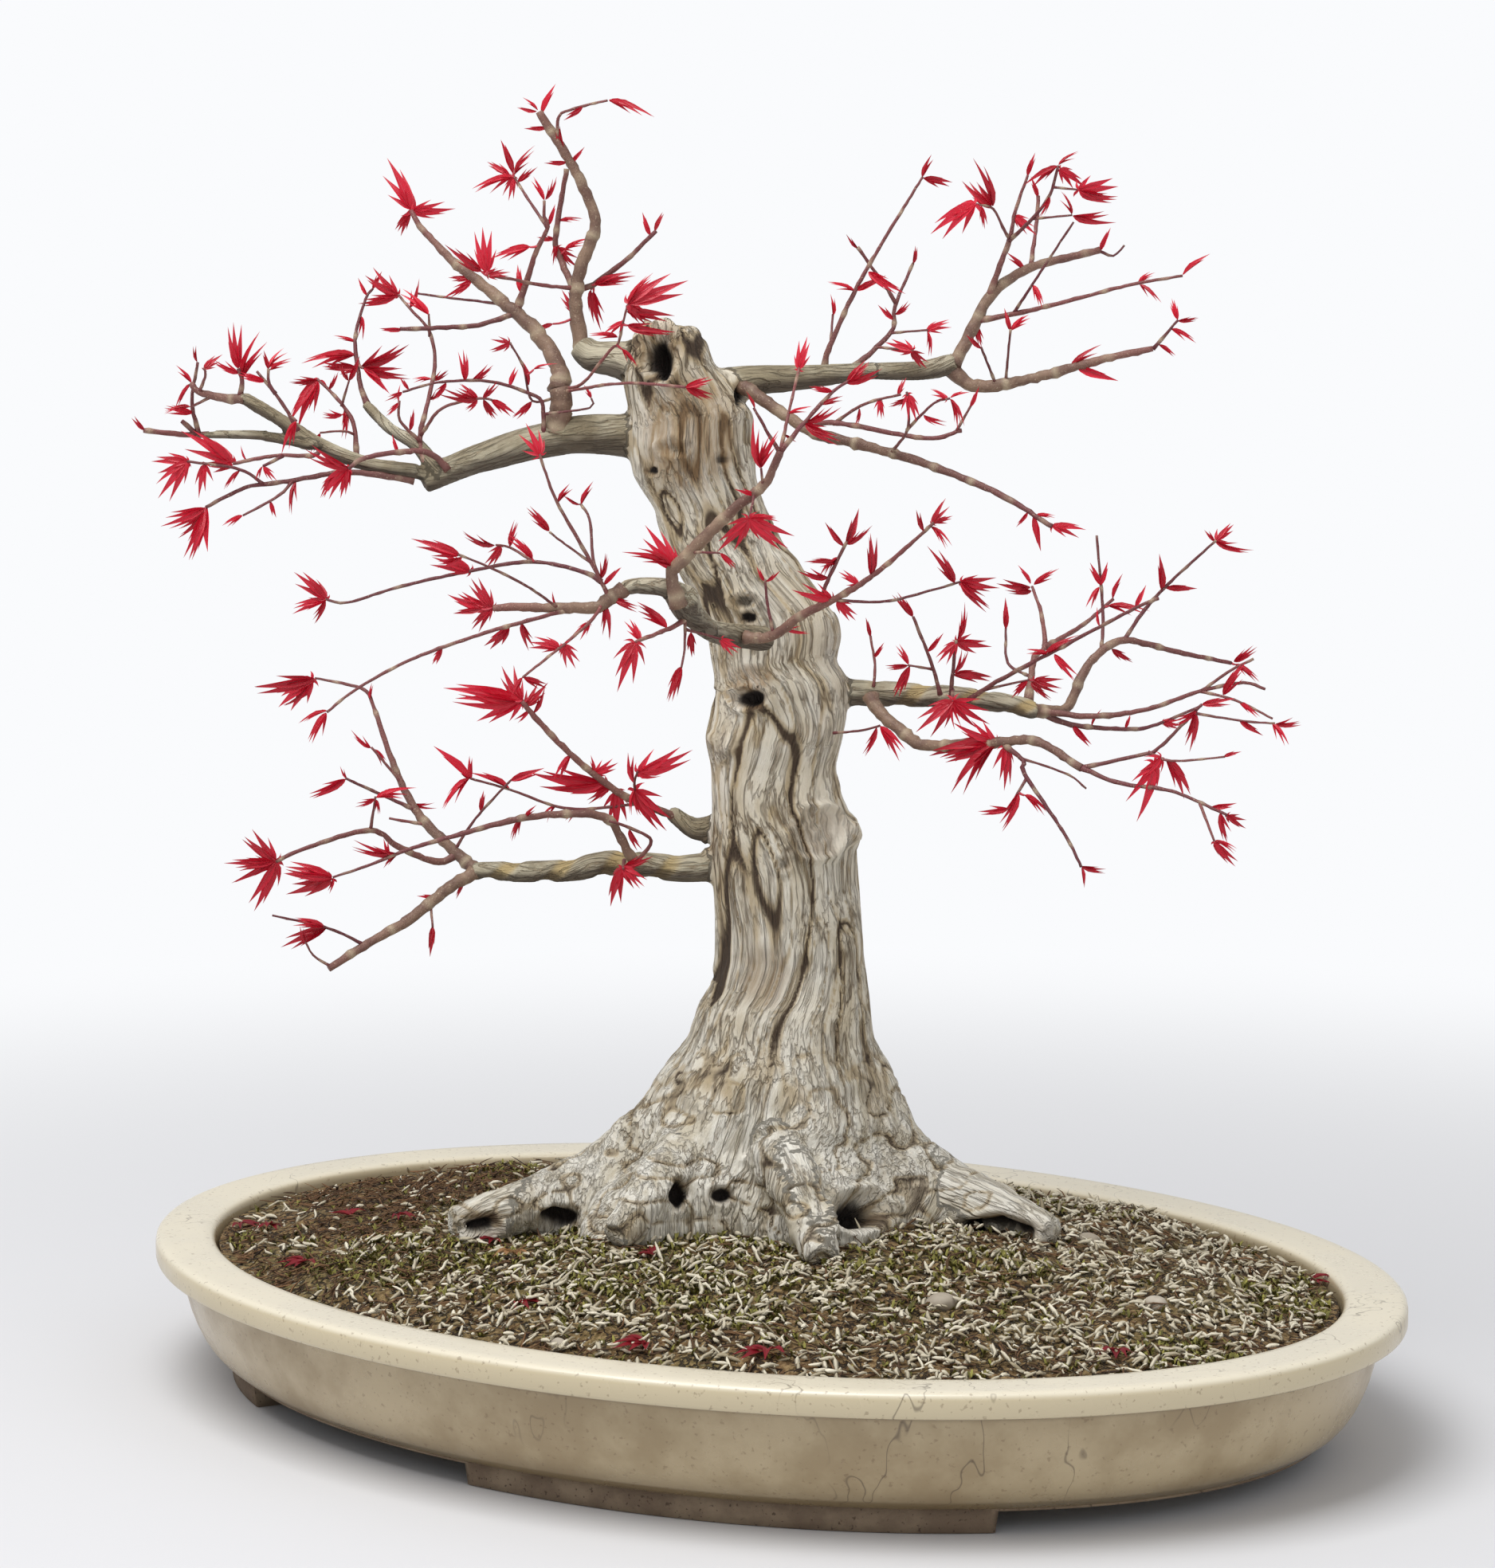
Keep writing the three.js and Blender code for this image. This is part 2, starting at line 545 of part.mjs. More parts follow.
    twigs: [
      [3.8, 1.1, 10, 38, 797, 1084, 775, 1045, 765, 1030, 735, 1021, 660, 1026, 595, 1042, 525, 1062, 502,
        1070, 460, 1087, 418, 1101],
      [1.8, 1.4, 8, 18, 828, 1078, 817, 1055, 785, 1037, 765, 1031],
    ],
    open: [[412, 1102, 364, 1126, 14]],
    folded: [[500, 1069, 445, 1079, 10], [790, 1040, 798, 1072, 12]],
    buds: [],
  },
  {
    name: "left_stub_shoot",
    twigs: [
      [3.4, 2.4, -8, 3, 856, 1028, 815, 1012, 772, 992, 720, 950, 680, 910, 655, 880],
      [1.6, 1.1, -6, 4, 806, 1010, 715, 1015, 640, 991, 590, 977],
      [1.4, 1.1, -6, 4, 800, 1008, 796, 985, 800, 968],
    ],
    open: [
      [655, 882, 622, 838, 20], [652, 882, 600, 902, 22], [660, 885, 690, 858, 18],
      [772, 994, 776, 1046, 40], [762, 985, 700, 992, 34], [745, 972, 778, 958, 24],
      [800, 970, 864, 955, 16], [800, 990, 836, 1052, 28],
    ],
    folded: [
      [655, 880, 563, 860, 14], [652, 882, 577, 886, 14], [664, 890, 650, 910, 12],
      [797, 990, 787, 1020, 14], [765, 988, 738, 1008, 14], [722, 1014, 712, 1036, 10],
      [760, 984, 660, 986, 12],
    ],
    buds: [],
  },
  {
    name: "left_limb_front_pair",
    twigs: [
      [1.6, 1.2, 9, 17, 783, 1080, 782, 1090],
    ],
    open: [[781, 1089, 760, 1142, 22], [783, 1089, 810, 1112, 24]],
    folded: [[784, 1088, 818, 1078, 10]],
    buds: [],
  },
];

const UPRIGHT = new THREE.Vector3(0, 0, 1);

// A seeded draw between 0 and 1.
function seededDraw(seed) {
  let state = seed;
  return () => {
    state = (state * 1664525 + 1013904223) % 4294967296;
    return state / 4294967296;
  };
}

// The real place of a point drawn on the sheet.
function place(across, down, near) {
  const ray = SIGHT.clone().multiplyScalar(SHEET_DISTANCE);
  ray.addScaledVector(RIGHT, across - SHEET_MIDDLE_ACROSS);
  ray.addScaledVector(SHEET_UP, SHEET_MIDDLE_DOWN - down);
  return EYE.clone().addScaledVector(ray, (PLANE_DISTANCE - near) / ray.dot(AHEAD));
}

// A geometry as a manifold solid.
function solidOf(geometry) {
  geometry.deleteAttribute("normal");
  geometry.deleteAttribute("uv");
  const merged = mergeVertices(geometry, 1e-4);
  const vertProperties = Float32Array.from(merged.getAttribute("position").array);
  const triVerts = Uint32Array.from(merged.index.array);
  return new wasm.Manifold(new wasm.Mesh({ numProp: 3, vertProperties, triVerts }));
}

// The biggest body of a solid, with its sealed hollows filled and its loose scraps dropped.
function mainBody(solid) {
  return solid.decompose().reduce((best, body) => (body.volume() > best.volume() ? body : best));
}

function unionOf(solids) {
  return wasm.Manifold.union(solids);
}

// A closed skin over rings of points, each ring turning the same way, with flat or coned ends.
function skinOf(rings, firstMiddle, lastMiddle) {
  const sides = rings[0].length;
  const points = rings.flat();
  const faces = [];
  const at = (ring, side) => ring * sides + (side % sides);
  for (let ring = 0; ring + 1 < rings.length; ring += 1) {
    for (let side = 0; side < sides; side += 1) {
      faces.push(at(ring, side), at(ring, side + 1), at(ring + 1, side));
      faces.push(at(ring, side + 1), at(ring + 1, side + 1), at(ring + 1, side));
    }
  }
  const last = rings.length - 1;
  if (firstMiddle) {
    points.push(firstMiddle, lastMiddle);
    for (let side = 0; side < sides; side += 1) {
      faces.push(points.length - 2, at(0, side + 1), at(0, side));
      faces.push(points.length - 1, at(last, side), at(last, side + 1));
    }
  } else {
    for (let side = 1; side + 1 < sides; side += 1) {
      faces.push(at(0, 0), at(0, side + 1), at(0, side));
      faces.push(at(last, 0), at(last, side), at(last, side + 1));
    }
  }
  const geometry = new THREE.BufferGeometry().setFromPoints(points);
  geometry.setIndex(faces);
  return geometry;
}

// A tapered limb or twig along a path, as a solid of flat-sided rings.
function stemSolid(path, radii, sides) {
  const rings = [];
  let side = null;
  path.forEach((point, index) => {
    const ahead = (path[index + 1] ?? point).clone().sub(point).normalize();
    const behind = point.clone().sub(path[index - 1] ?? point).normalize();
    const along = ahead.add(behind).normalize();
    side ??= new THREE.Vector3().crossVectors(along, Math.abs(along.z) < 0.9 ? UPRIGHT : RIGHT);
    side = side.clone().addScaledVector(along, -side.dot(along)).normalize();
    const across = new THREE.Vector3().crossVectors(along, side);
    const ring = [];
    for (let step = 0; step < sides; step += 1) {
      const turn = (2 * Math.PI * step) / sides;
      const corner = point.clone().addScaledVector(side, radii[index] * Math.cos(turn));
      ring.push(corner.addScaledVector(across, radii[index] * Math.sin(turn)));
    }
    rings.push(ring);
  });
  return solidOf(skinOf(rings));
}

// The path and the radii of a woody row.
function readStem(row, nearStep) {
  const [rootThickness, tipThickness, rootNear, tipNear, ...pairs] = row;
  const count = pairs.length / 2;
  const lengths = [0];
  for (let index = 1; index < count; index += 1) {
    const step = Math.hypot(pairs[2 * index] - pairs[2 * index - 2], pairs[2 * index + 1] - pairs[2 * index - 1]);
    lengths.push(lengths[index - 1] + step);
  }
  return lengths.map((length, index) => {
    const share = length / lengths[count - 1];
    return {
      across: pairs[2 * index],
      down: pairs[2 * index + 1],
      near: THREE.MathUtils.lerp(rootNear, tipNear, share) * nearStep,
      radius: THREE.MathUtils.lerp(rootThickness, tipThickness, share) / 2,
    };
  });
}

function stemOf(points, sides, extra) {
  const path = points.map((point) => place(point.across, point.down, point.near));
  return stemSolid(path, points.map((point) => point.radius + extra), sides);
}

// An oval ring that lies inset from the pot's outline at a height.
function ovalRing(inset, height) {
  const ring = [];
  for (let step = 0; step < POT_SIDES; step += 1) {
    const turn = (2 * Math.PI * step) / POT_SIDES;
    const across = (POT_LENGTH / 2 - inset) * Math.cos(turn);
    ring.push(new THREE.Vector3(across, (POT_WIDTH / 2 - inset) * Math.sin(turn), height));
  }
  return ring;
}

// A solid whose sections are the oval rings of a profile of insets and heights.
function ovalSolid(profile) {
  const rings = profile.map(([inset, height]) => ovalRing(inset, height));
  const first = new THREE.Vector3(0, 0, profile[0][1]);
  const last = new THREE.Vector3(0, 0, profile[profile.length - 1][1]);
  return solidOf(skinOf(rings, first, last));
}

// The section of the bowl as insets and heights: the belly from the foot up to the undercut,
// the lip, the flat rim, and the inside down to the floor.
const FLOOR_TOP = 15;
const INNER_WALL_INSET = RIM_WIDTH + 2;
const INNER_BELLY_INSET = INNER_WALL_INSET + 4;
const FLOOR_INSET = INNER_WALL_INSET + 16;
const BELLY_TOP = 46.2;
const INNER_WALL_BOTTOM = 44;
const INNER_BELLY_HEIGHT = 26;
const BOWL_SECTION = [
  [30, FOOT_HEIGHT], [22.5, 12.5], [17, 19.5], [12.8, 29], [10.4, 39], [9.4, BELLY_TOP],
  [1, BELLY_TOP + 0.4], [0, 47.8], [0, 54.6], [1.2, POT_HEIGHT], [RIM_WIDTH, POT_HEIGHT],
  [INNER_WALL_INSET, INNER_WALL_BOTTOM], [INNER_BELLY_INSET, INNER_BELLY_HEIGHT], [FLOOR_INSET, FLOOR_TOP],
];

// The pot: a bellied bowl with a flat rim on a foot ring, cut by four gaps, with two drain holes.
function makePot() {
  const foot = ovalSolid([[FOOT_OUTER_INSET + 1, 0], [FOOT_OUTER_INSET, FOOT_HEIGHT + 1]]);
  const inside = ovalSolid([[FOOT_INNER_INSET, -1], [FOOT_INNER_INSET + 1, FOOT_HEIGHT]]);
  let pot = ovalSolid(BOWL_SECTION).add(foot.subtract(inside));
  for (const [turn, width] of FOOT_GAPS) {
    const gap = new THREE.BoxGeometry(2 * POT_LENGTH, width, 2 * FOOT_HEIGHT);
    gap.rotateZ(THREE.MathUtils.degToRad(turn));
    pot = pot.subtract(solidOf(gap));
  }
  for (const side of [-1, 1]) {
    const hole = new THREE.CylinderGeometry(DRAIN_RADIUS, DRAIN_RADIUS, 4 * FLOOR_TOP, DRAIN_SIDES);
    hole.rotateX(Math.PI / 2);
    hole.translate(side * DRAIN_OFFSET, 0, 0);
    pot = pot.subtract(solidOf(hole));
  }
  return mainBody(pot);
}

// One level section of the trunk, fuller toward the eye than behind, with hollows between the roots.
const FLARE_TOP = 1340;
const FLARE_BOTTOM = 1530;
const ROUND_DEPTH = 0.92;
const FLARE_FRONT_DEPTH = 0.58;
const FLARE_REAR_DEPTH = 0.52;

// How much of the full reach the flare has in a direction: all of it along a root ridge.
function ridgeReach(degrees, flare) {
  const away = RIDGE_TURNS.map((ridge) => Math.abs(((degrees - ridge + 540) % 360) - 180));
  const ridge = Math.exp(-((Math.min(...away) / RIDGE_SPREAD) ** 2));
  return 1 - RIDGE_DEPTH * flare * (1 - ridge);
}

function trunkRing([down, left, right], extra) {
  const from = place(left, down, 0);
  const to = place(right, down, 0);
  const middle = from.clone().lerp(to, 0.5);
  const halfWidth = from.distanceTo(to) / 2 + extra;
  const flare = THREE.MathUtils.clamp((down - FLARE_TOP) / (FLARE_BOTTOM - FLARE_TOP), 0, 1);
  const ring = [];
  for (let step = 0; step < TRUNK_SIDES; step += 1) {
    const turn = (2 * Math.PI * step) / TRUNK_SIDES;
    const ahead = Math.sin(turn);
    const flareDepth = ahead < 0 ? FLARE_FRONT_DEPTH : FLARE_REAR_DEPTH;
    const depth = THREE.MathUtils.lerp(ROUND_DEPTH, flareDepth, flare);
    const reach = halfWidth * ridgeReach(THREE.MathUtils.radToDeg(turn), flare);
    const point = middle.clone().addScaledVector(RIGHT, reach * Math.cos(turn));
    ring.push(point.addScaledVector(AHEAD, reach * depth * ahead));
  }
  return ring;
}

function trunkSolid(extra) {
  const rings = TRUNK_OUTLINE.map((row) => trunkRing(row, extra)).reverse();
  const base = rings[0].map((point) => new THREE.Vector3(point.x, point.y, TRUNK_BOTTOM - extra));
  rings.unshift(base);
  const top = rings[rings.length - 1];
  const crown = top.reduce((sum, point) => sum.add(point), new THREE.Vector3()).divideScalar(top.length);
  crown.z += 2;
  const foot = base.reduce((sum, point) => sum.add(point), new THREE.Vector3()).divideScalar(base.length);
  return solidOf(skinOf(rings, foot, crown));
}

// The trunk, the roots and the heavy limbs, which grew as one piece, made larger by an even amount.
function makeWood(extra) {
  const roots = ROOTS.map((row) => stemOf(readStem(row, 1), LIMB_SIDES, extra));
  const limbs = LIMBS.map((row) => stemOf(readStem(row, LIMB_NEAR_STEP), LIMB_SIDES, extra));
  return mainBody(unionOf([trunkSolid(extra), ...roots, ...limbs]));
}

// The soil fills the pot, lies a little below its rim and rises in a low mound to the trunk.
const SOIL_EDGE_HEIGHT = 52;
const MOUND_SECTION = [[INNER_WALL_INSET + 22, 57], [100, 63], [150, 67]];

function makeSoil(wood) {
  const soil = ovalSolid([
    [FLOOR_INSET + GAP, FLOOR_TOP + GAP], [INNER_BELLY_INSET + GAP, INNER_BELLY_HEIGHT + GAP],
    [INNER_WALL_INSET + GAP, INNER_WALL_BOTTOM], [INNER_WALL_INSET + GAP, SOIL_EDGE_HEIGHT], ...MOUND_SECTION,
  ]);
  return mainBody(soil.subtract(wood));
}

// Half outlines of unit length and width, from the end of the stalk to the tip.
const OPEN_LEAF = [[0.42, 0.16], [0.13, 0.38], [0.5, 0.72], [0.1, 0.58], [0, 1]];
const FOLDED_LEAF = [[0.5, 0.66], [0.14, 0.5], [0, 1]];
const BUD = [[0.5, 0.45], [0, 1]];

// A blade with cut lobes on a narrow stalk, curled down toward its tip and folded along its rib.
function bladeGeometry(halfOutline, length, width, stalk, curl, fold) {
  const lobes = halfOutline.map(([across, along]) => new THREE.Vector2(across * width, along * length));
  const left = lobes.slice(0, -1).map((corner) => new THREE.Vector2(-corner.x, corner.y));
  const outline = new THREE.Shape([new THREE.Vector2(0, -stalk), ...lobes, ...left.reverse()]);
  const blade = new THREE.ExtrudeGeometry(outline, { depth: BLADE_THICKNESS, bevelEnabled: false });
  const corners = blade.getAttribute("position");
  for (let index = 0; index < corners.count; index += 1) {
    const share = Math.max(corners.getY(index) / length, 0);
    const bend = -curl * length * share * share - fold * Math.abs(corners.getX(index));
    corners.setZ(index, corners.getZ(index) - BLADE_THICKNESS / 2 + bend);
  }
  return blade;
}

// The point of a shoot's stems that lies closest to a place on the sheet.
function closestOnStems(stems, across, down) {
  let best = { distance: Infinity };
  for (const stem of stems) {
    for (let index = 0; index + 1 < stem.length; index += 1) {
      const [from, to] = [stem[index], stem[index + 1]];
      const run = [to.across - from.across, to.down - from.down];
      const reach = (across - from.across) * run[0] + (down - from.down) * run[1];
      const share = THREE.MathUtils.clamp(reach / (run[0] ** 2 + run[1] ** 2), 0, 1);
      const found = { across: from.across + share * run[0], down: from.down + share * run[1] };
      found.near = THREE.MathUtils.lerp(from.near, to.near, share);
      found.distance = Math.hypot(found.across - across, found.down - down);
      if (found.distance < best.distance) best = found;
    }
  }
  return best;
}

// The stems of a shoot, each side twig rooted in the closest earlier stem.
function readStems(rows) {
  const stems = [readStem(rows[0], LIMB_NEAR_STEP)];
  for (const row of rows.slice(1)) {
    const stem = readStem(row, LIMB_NEAR_STEP);
    Object.assign(stem[0], closestOnStems(stems, stem[0].across, stem[0].down));
    stems.push(stem);
  }
  return stems;
}

// How each kind of leaf hangs: its outline, curl, fold, lean toward the eye and roll about its rib.
const LEAF_KINDS = {
  open: { outline: OPEN_LEAF, curl: 0.12, fold: 0.15, lean: 0.35, roll: 0.5 },
  folded: { outline: FOLDED_LEAF, curl: 0.16, fold: 0.5, lean: 0.5, roll: 0.9 },
  buds: { outline: BUD, curl: 0.05, fold: 0.2, lean: 0.3, roll: 0.9 },
};

// A leaf whose stalk runs from the closest point of the shoot's stems.
function leafSolid(row, kind, stems, draw, shift) {
  const [baseAcross, baseDown, tipAcross, tipDown, width] = row;
  const stemPoint = closestOnStems(stems, baseAcross, baseDown);
  const root = place(stemPoint.across, stemPoint.down, stemPoint.near);
  const sheetLength = Math.hypot(tipAcross - baseAcross, tipDown - baseDown);
  const lean = (draw() - 0.35) * 2 * kind.lean * sheetLength * SHEET_TO_REAL;
  const tip = place(tipAcross, tipDown, stemPoint.near + lean + shift);
  const whole = root.distanceTo(tip);
  const length = Math.min(sheetLength * SHEET_TO_REAL + 0.5, whole - STALK_SINK);
  const along = tip.clone().sub(root).normalize();
  const base = tip.clone().addScaledVector(along, -length);
  const across = new THREE.Vector3().crossVectors(along, SIGHT.clone().negate()).normalize();
  across.applyAxisAngle(along, (draw() - 0.5) * 2 * kind.roll);
  const facing = new THREE.Vector3().crossVectors(across, along);
  const realWidth = Math.max(width * SHEET_TO_REAL, LEAST_LEAF_WIDTH);
  const blade = bladeGeometry(kind.outline, length, realWidth, whole - length, kind.curl, kind.fold);
  blade.applyMatrix4(new THREE.Matrix4().makeBasis(across, along, facing).setPosition(base));
  return solidOf(blade);
}

// How far a leaf tip is bent toward or away from the eye, in turn, until it clears the other pieces.
const LEAF_SHIFTS = [0, 4, -4, 8, -8, 12, -12];

function boxesMeet(solid, other) {
  const [box, otherBox] = [solid.boundingBox(), other.boundingBox()];
  return box.min.every((low, axis) => low < otherBox.max[axis] && otherBox.min[axis] < box.max[axis]);
}

function clears(solid, other) {
  if (!boxesMeet(solid, other)) return true;
  const common = solid.intersect(other);
  const empty = common.isEmpty();
  common.delete();
  return empty;
}

// One leafy shoot as one body, cut clear of the wood that it grows from.
function makeShoot(shoot, others, seed) {
  const draw = seededDraw(seed);
  const stems = readStems(shoot.twigs);
  const pieces = stems.map((stem) => stemOf(stem, stem[0].radius > THICK_RADIUS ? THICK_SIDES : TWIG_SIDES, 0));
  for (const [kindName, kind] of Object.entries(LEAF_KINDS)) {
    for (const row of shoot[kindName]) {
      const turns = [draw(), draw()];
      for (const shift of LEAF_SHIFTS) {
        const drawn = [...turns];
        const leaf = leafSolid(row, kind, stems, () => drawn.shift(), shift);
        if (others.every((other) => clears(leaf, other))) {
          pieces.push(leaf);
          break;
        }
        leaf.delete();
      }
    }
  }
  const whole = unionOf(pieces);
  pieces.forEach((piece) => piece.delete());
  return mainBody(others.reduce((rest, other) => (clears(rest, other) ? rest : rest.subtract(other)), whole));
}

const MATERIALS = {
  pot: new THREE.MeshStandardMaterial({ color: 0xe3dcc6, roughness: 0.3, metalness: 0 }),
  soil: new THREE.MeshStandardMaterial({ color: 0x8b7a58, roughness: 0.95, metalness: 0 }),
  wood: new THREE.MeshStandardMaterial({ color: 0xb8ab95, roughness: 0.85, metalness: 0 }),
  shoot: new THREE.MeshStandardMaterial({ color: 0xb81f33, roughness: 0.5, metalness: 0 }),
};

function meshOf(name, solid, material) {
  const { numProp, vertProperties, triVerts } = solid.getMesh();
  const geometry = new THREE.BufferGeometry();
  geometry.setAttribute("position", new THREE.BufferAttribute(Float32Array.from(vertProperties), numProp));
  geometry.setIndex(new THREE.BufferAttribute(Uint32Array.from(triVerts), 1));
  geometry.computeVertexNormals();
  const mesh = new THREE.Mesh(geometry, material);
  mesh.name = name;
  return mesh;
}

const bonsai = new THREE.Group();
const pot = makePot();
bonsai.add(meshOf("pot", pot, MATERIALS.pot));
bonsai.add(meshOf("soil", makeSoil(makeWood(ROOT_GAP)), MATERIALS.soil));
bonsai.add(meshOf("trunk_and_limbs", makeWood(0), MATERIALS.wood));

const keepClear = [makeWood(GAP)];
SPRAYS.forEach((shoot, index) => {
  const solid = makeShoot(shoot, keepClear, index + 1);
  bonsai.add(meshOf(shoot.name, solid, MATERIALS.shoot));
  keepClear.push(solid);
});

export default bonsai;
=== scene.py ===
import itertools
import math

import bpy
import numpy as np
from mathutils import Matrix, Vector


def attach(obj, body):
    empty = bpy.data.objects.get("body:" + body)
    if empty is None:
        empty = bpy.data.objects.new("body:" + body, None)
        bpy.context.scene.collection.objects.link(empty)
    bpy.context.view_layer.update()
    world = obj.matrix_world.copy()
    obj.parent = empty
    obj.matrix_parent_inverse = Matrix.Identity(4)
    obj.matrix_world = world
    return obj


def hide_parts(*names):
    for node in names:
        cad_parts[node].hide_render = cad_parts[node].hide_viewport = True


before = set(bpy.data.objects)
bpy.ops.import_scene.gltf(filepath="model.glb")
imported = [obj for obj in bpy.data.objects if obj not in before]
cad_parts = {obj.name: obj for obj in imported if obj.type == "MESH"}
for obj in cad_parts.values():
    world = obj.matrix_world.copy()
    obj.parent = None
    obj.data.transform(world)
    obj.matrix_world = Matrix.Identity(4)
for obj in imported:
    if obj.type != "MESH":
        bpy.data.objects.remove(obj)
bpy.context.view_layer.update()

bl_info = {
    "name": "Deshojo Maple Bonsai",
    "version": (1, 0, 0),
    "blender": (4, 5, 0),
    "location": "View3D > Sidebar > Bonsai",
    "description": "Dresses the packed bonsai: oval pot, planted soil, furrowed trunk, leafy shoots",
    "category": "Object",
}

MM = 0.001

# The tree is drawn on an upright sheet of 1876 by 1968 units that hangs SHEET_DISTANCE units
# in front of the eye, square to the line of sight. A place on it is across, down, and near, which says
# how far the point stands in front of the upright plane through the trunk, PLANE_DISTANCE from the eye.
EYE = np.array([0.7621, -1.2624, 0.4015])
SIGHT_TURN = math.radians(31.29)
SIGHT_PITCH = math.radians(6.503)
SHEET_WIDTH = 1876
SHEET_HEIGHT = 1968
SHEET_DISTANCE = 5000
PLANE_DISTANCE = 1.495
SHEET_UNIT = PLANE_DISTANCE / SHEET_DISTANCE
LIMB_NEAR_STEP = 1.6 * MM

AHEAD = np.array([-math.sin(SIGHT_TURN), math.cos(SIGHT_TURN), 0])
RIGHT = np.array([math.cos(SIGHT_TURN), math.sin(SIGHT_TURN), 0])
UP = np.array([0.0, 0.0, 1.0])
SIGHT = AHEAD * math.cos(SIGHT_PITCH) - UP * math.sin(SIGHT_PITCH)
SHEET_UP = AHEAD * math.sin(SIGHT_PITCH) + UP * math.cos(SIGHT_PITCH)

# The outline of the trunk down to the roots: down, left edge, right edge.
TRUNK_OUTLINE = [
    (402, 815, 866), (412, 800, 877), (425, 792, 887), (440, 790, 891), (455, 786, 896), (472, 780, 905),
    (495, 784, 925), (520, 790, 945), (560, 787, 947), (597, 794, 949), (620, 809, 955), (640, 822, 963),
    (660, 825, 972), (685, 832, 983), (702, 843, 1000), (725, 855, 1014), (750, 868, 1035),
    (775, 880, 1053), (800, 889, 1057), (828, 893, 1051), (854, 897, 1065), (900, 891, 1062),
    (925, 885, 1058), (960, 893, 1050), (1000, 893, 1058), (1040, 892, 1073), (1075, 893, 1076),
    (1100, 894, 1079), (1150, 897, 1081), (1200, 896, 1083), (1240, 889, 1090), (1260, 876, 1093),
    (1300, 863, 1098), (1340, 836, 1117), (1360, 819, 1126), (1380, 800, 1140), (1400, 779, 1150),
    (1420, 760, 1163), (1440, 731, 1190), (1455, 700, 1213), (1475, 665, 1243), (1495, 630, 1272),
    (1515, 600, 1298), (1530, 590, 1308),
]
FLARE_TOP = 1340
FLARE_BOTTOM = 1530
ROUND_DEPTH = 0.92
FLARE_FRONT_DEPTH = 0.58
FLARE_REAR_DEPTH = 0.52
RIDGE_TURNS = (-8, -72, -122, -170, 140, 95, 45)
RIDGE_SPREAD = 17
RIDGE_DEPTH = 0.32
TRUNK_BOTTOM = 44 * MM

# Woody rows: thickness at the root and at the tip in millimetres, near at the root and at the tip,
# then the path as across, down pairs. Near is in millimetres for roots, in LIMB_NEAR_STEP for the rest.
ROOTS = [
    (27, 15, 8, 32, 745, 1488, 655, 1512, 572, 1540),
    (27, 14, 8, 40, 1175, 1494, 1252, 1518, 1320, 1548),
    (26, 13, 40, 80, 972, 1440, 1008, 1510, 1032, 1580),
    (22, 11, 34, 62, 860, 1450, 812, 1505, 772, 1552),
    (26, 13, -30, -62, 800, 1466, 700, 1484),
    (26, 13, -30, -60, 1080, 1466, 1190, 1484),
    (26, 12, -36, -66, 962, 1460, 975, 1480),
]
LIMBS = [
    (17, 10, 0, -5, 815, 458, 765, 450, 742, 447, 727, 432),
    (17, 9, -2, 10, 800, 548, 745, 545, 695, 550, 595, 577, 530, 607),
    (7, 4.4, 10, -1, 548, 594, 525, 560, 490, 538, 458, 506),
    (6.6, 5, 12, 11, 525, 592, 460, 582, 405, 560, 362, 533, 302, 497),
    (4.6, 4, 14, 0, 395, 560, 350, 550, 320, 546, 255, 546),
    (14, 6.6, 0, -14, 890, 487, 945, 478, 1005, 474, 1095, 465),
    (6.6, 8.6, -14, -18, 1088, 465, 1155, 465, 1198, 456),
    (11, 7.5, 0, 3, 1040, 868, 1115, 871, 1215, 876, 1302, 891),
    (12, 7.2, 0, 10, 905, 1085, 855, 1090, 770, 1083, 705, 1093, 592, 1093),
    (11, 6, -4, -9, 900, 1038, 872, 1040, 840, 1018),
    (10, 8, 20, 50, 960, 802, 905, 795, 880, 785),
    (8, 12, 48, 60, 888, 789, 865, 768, 855, 748),
    (8, 6, 60, 62, 856, 746, 838, 738, 795, 735, 780, 741),
]
# The limbs, by their place above, that keep the spiral scar of a training wire.
SCARRED_LIMBS = (7, 8)
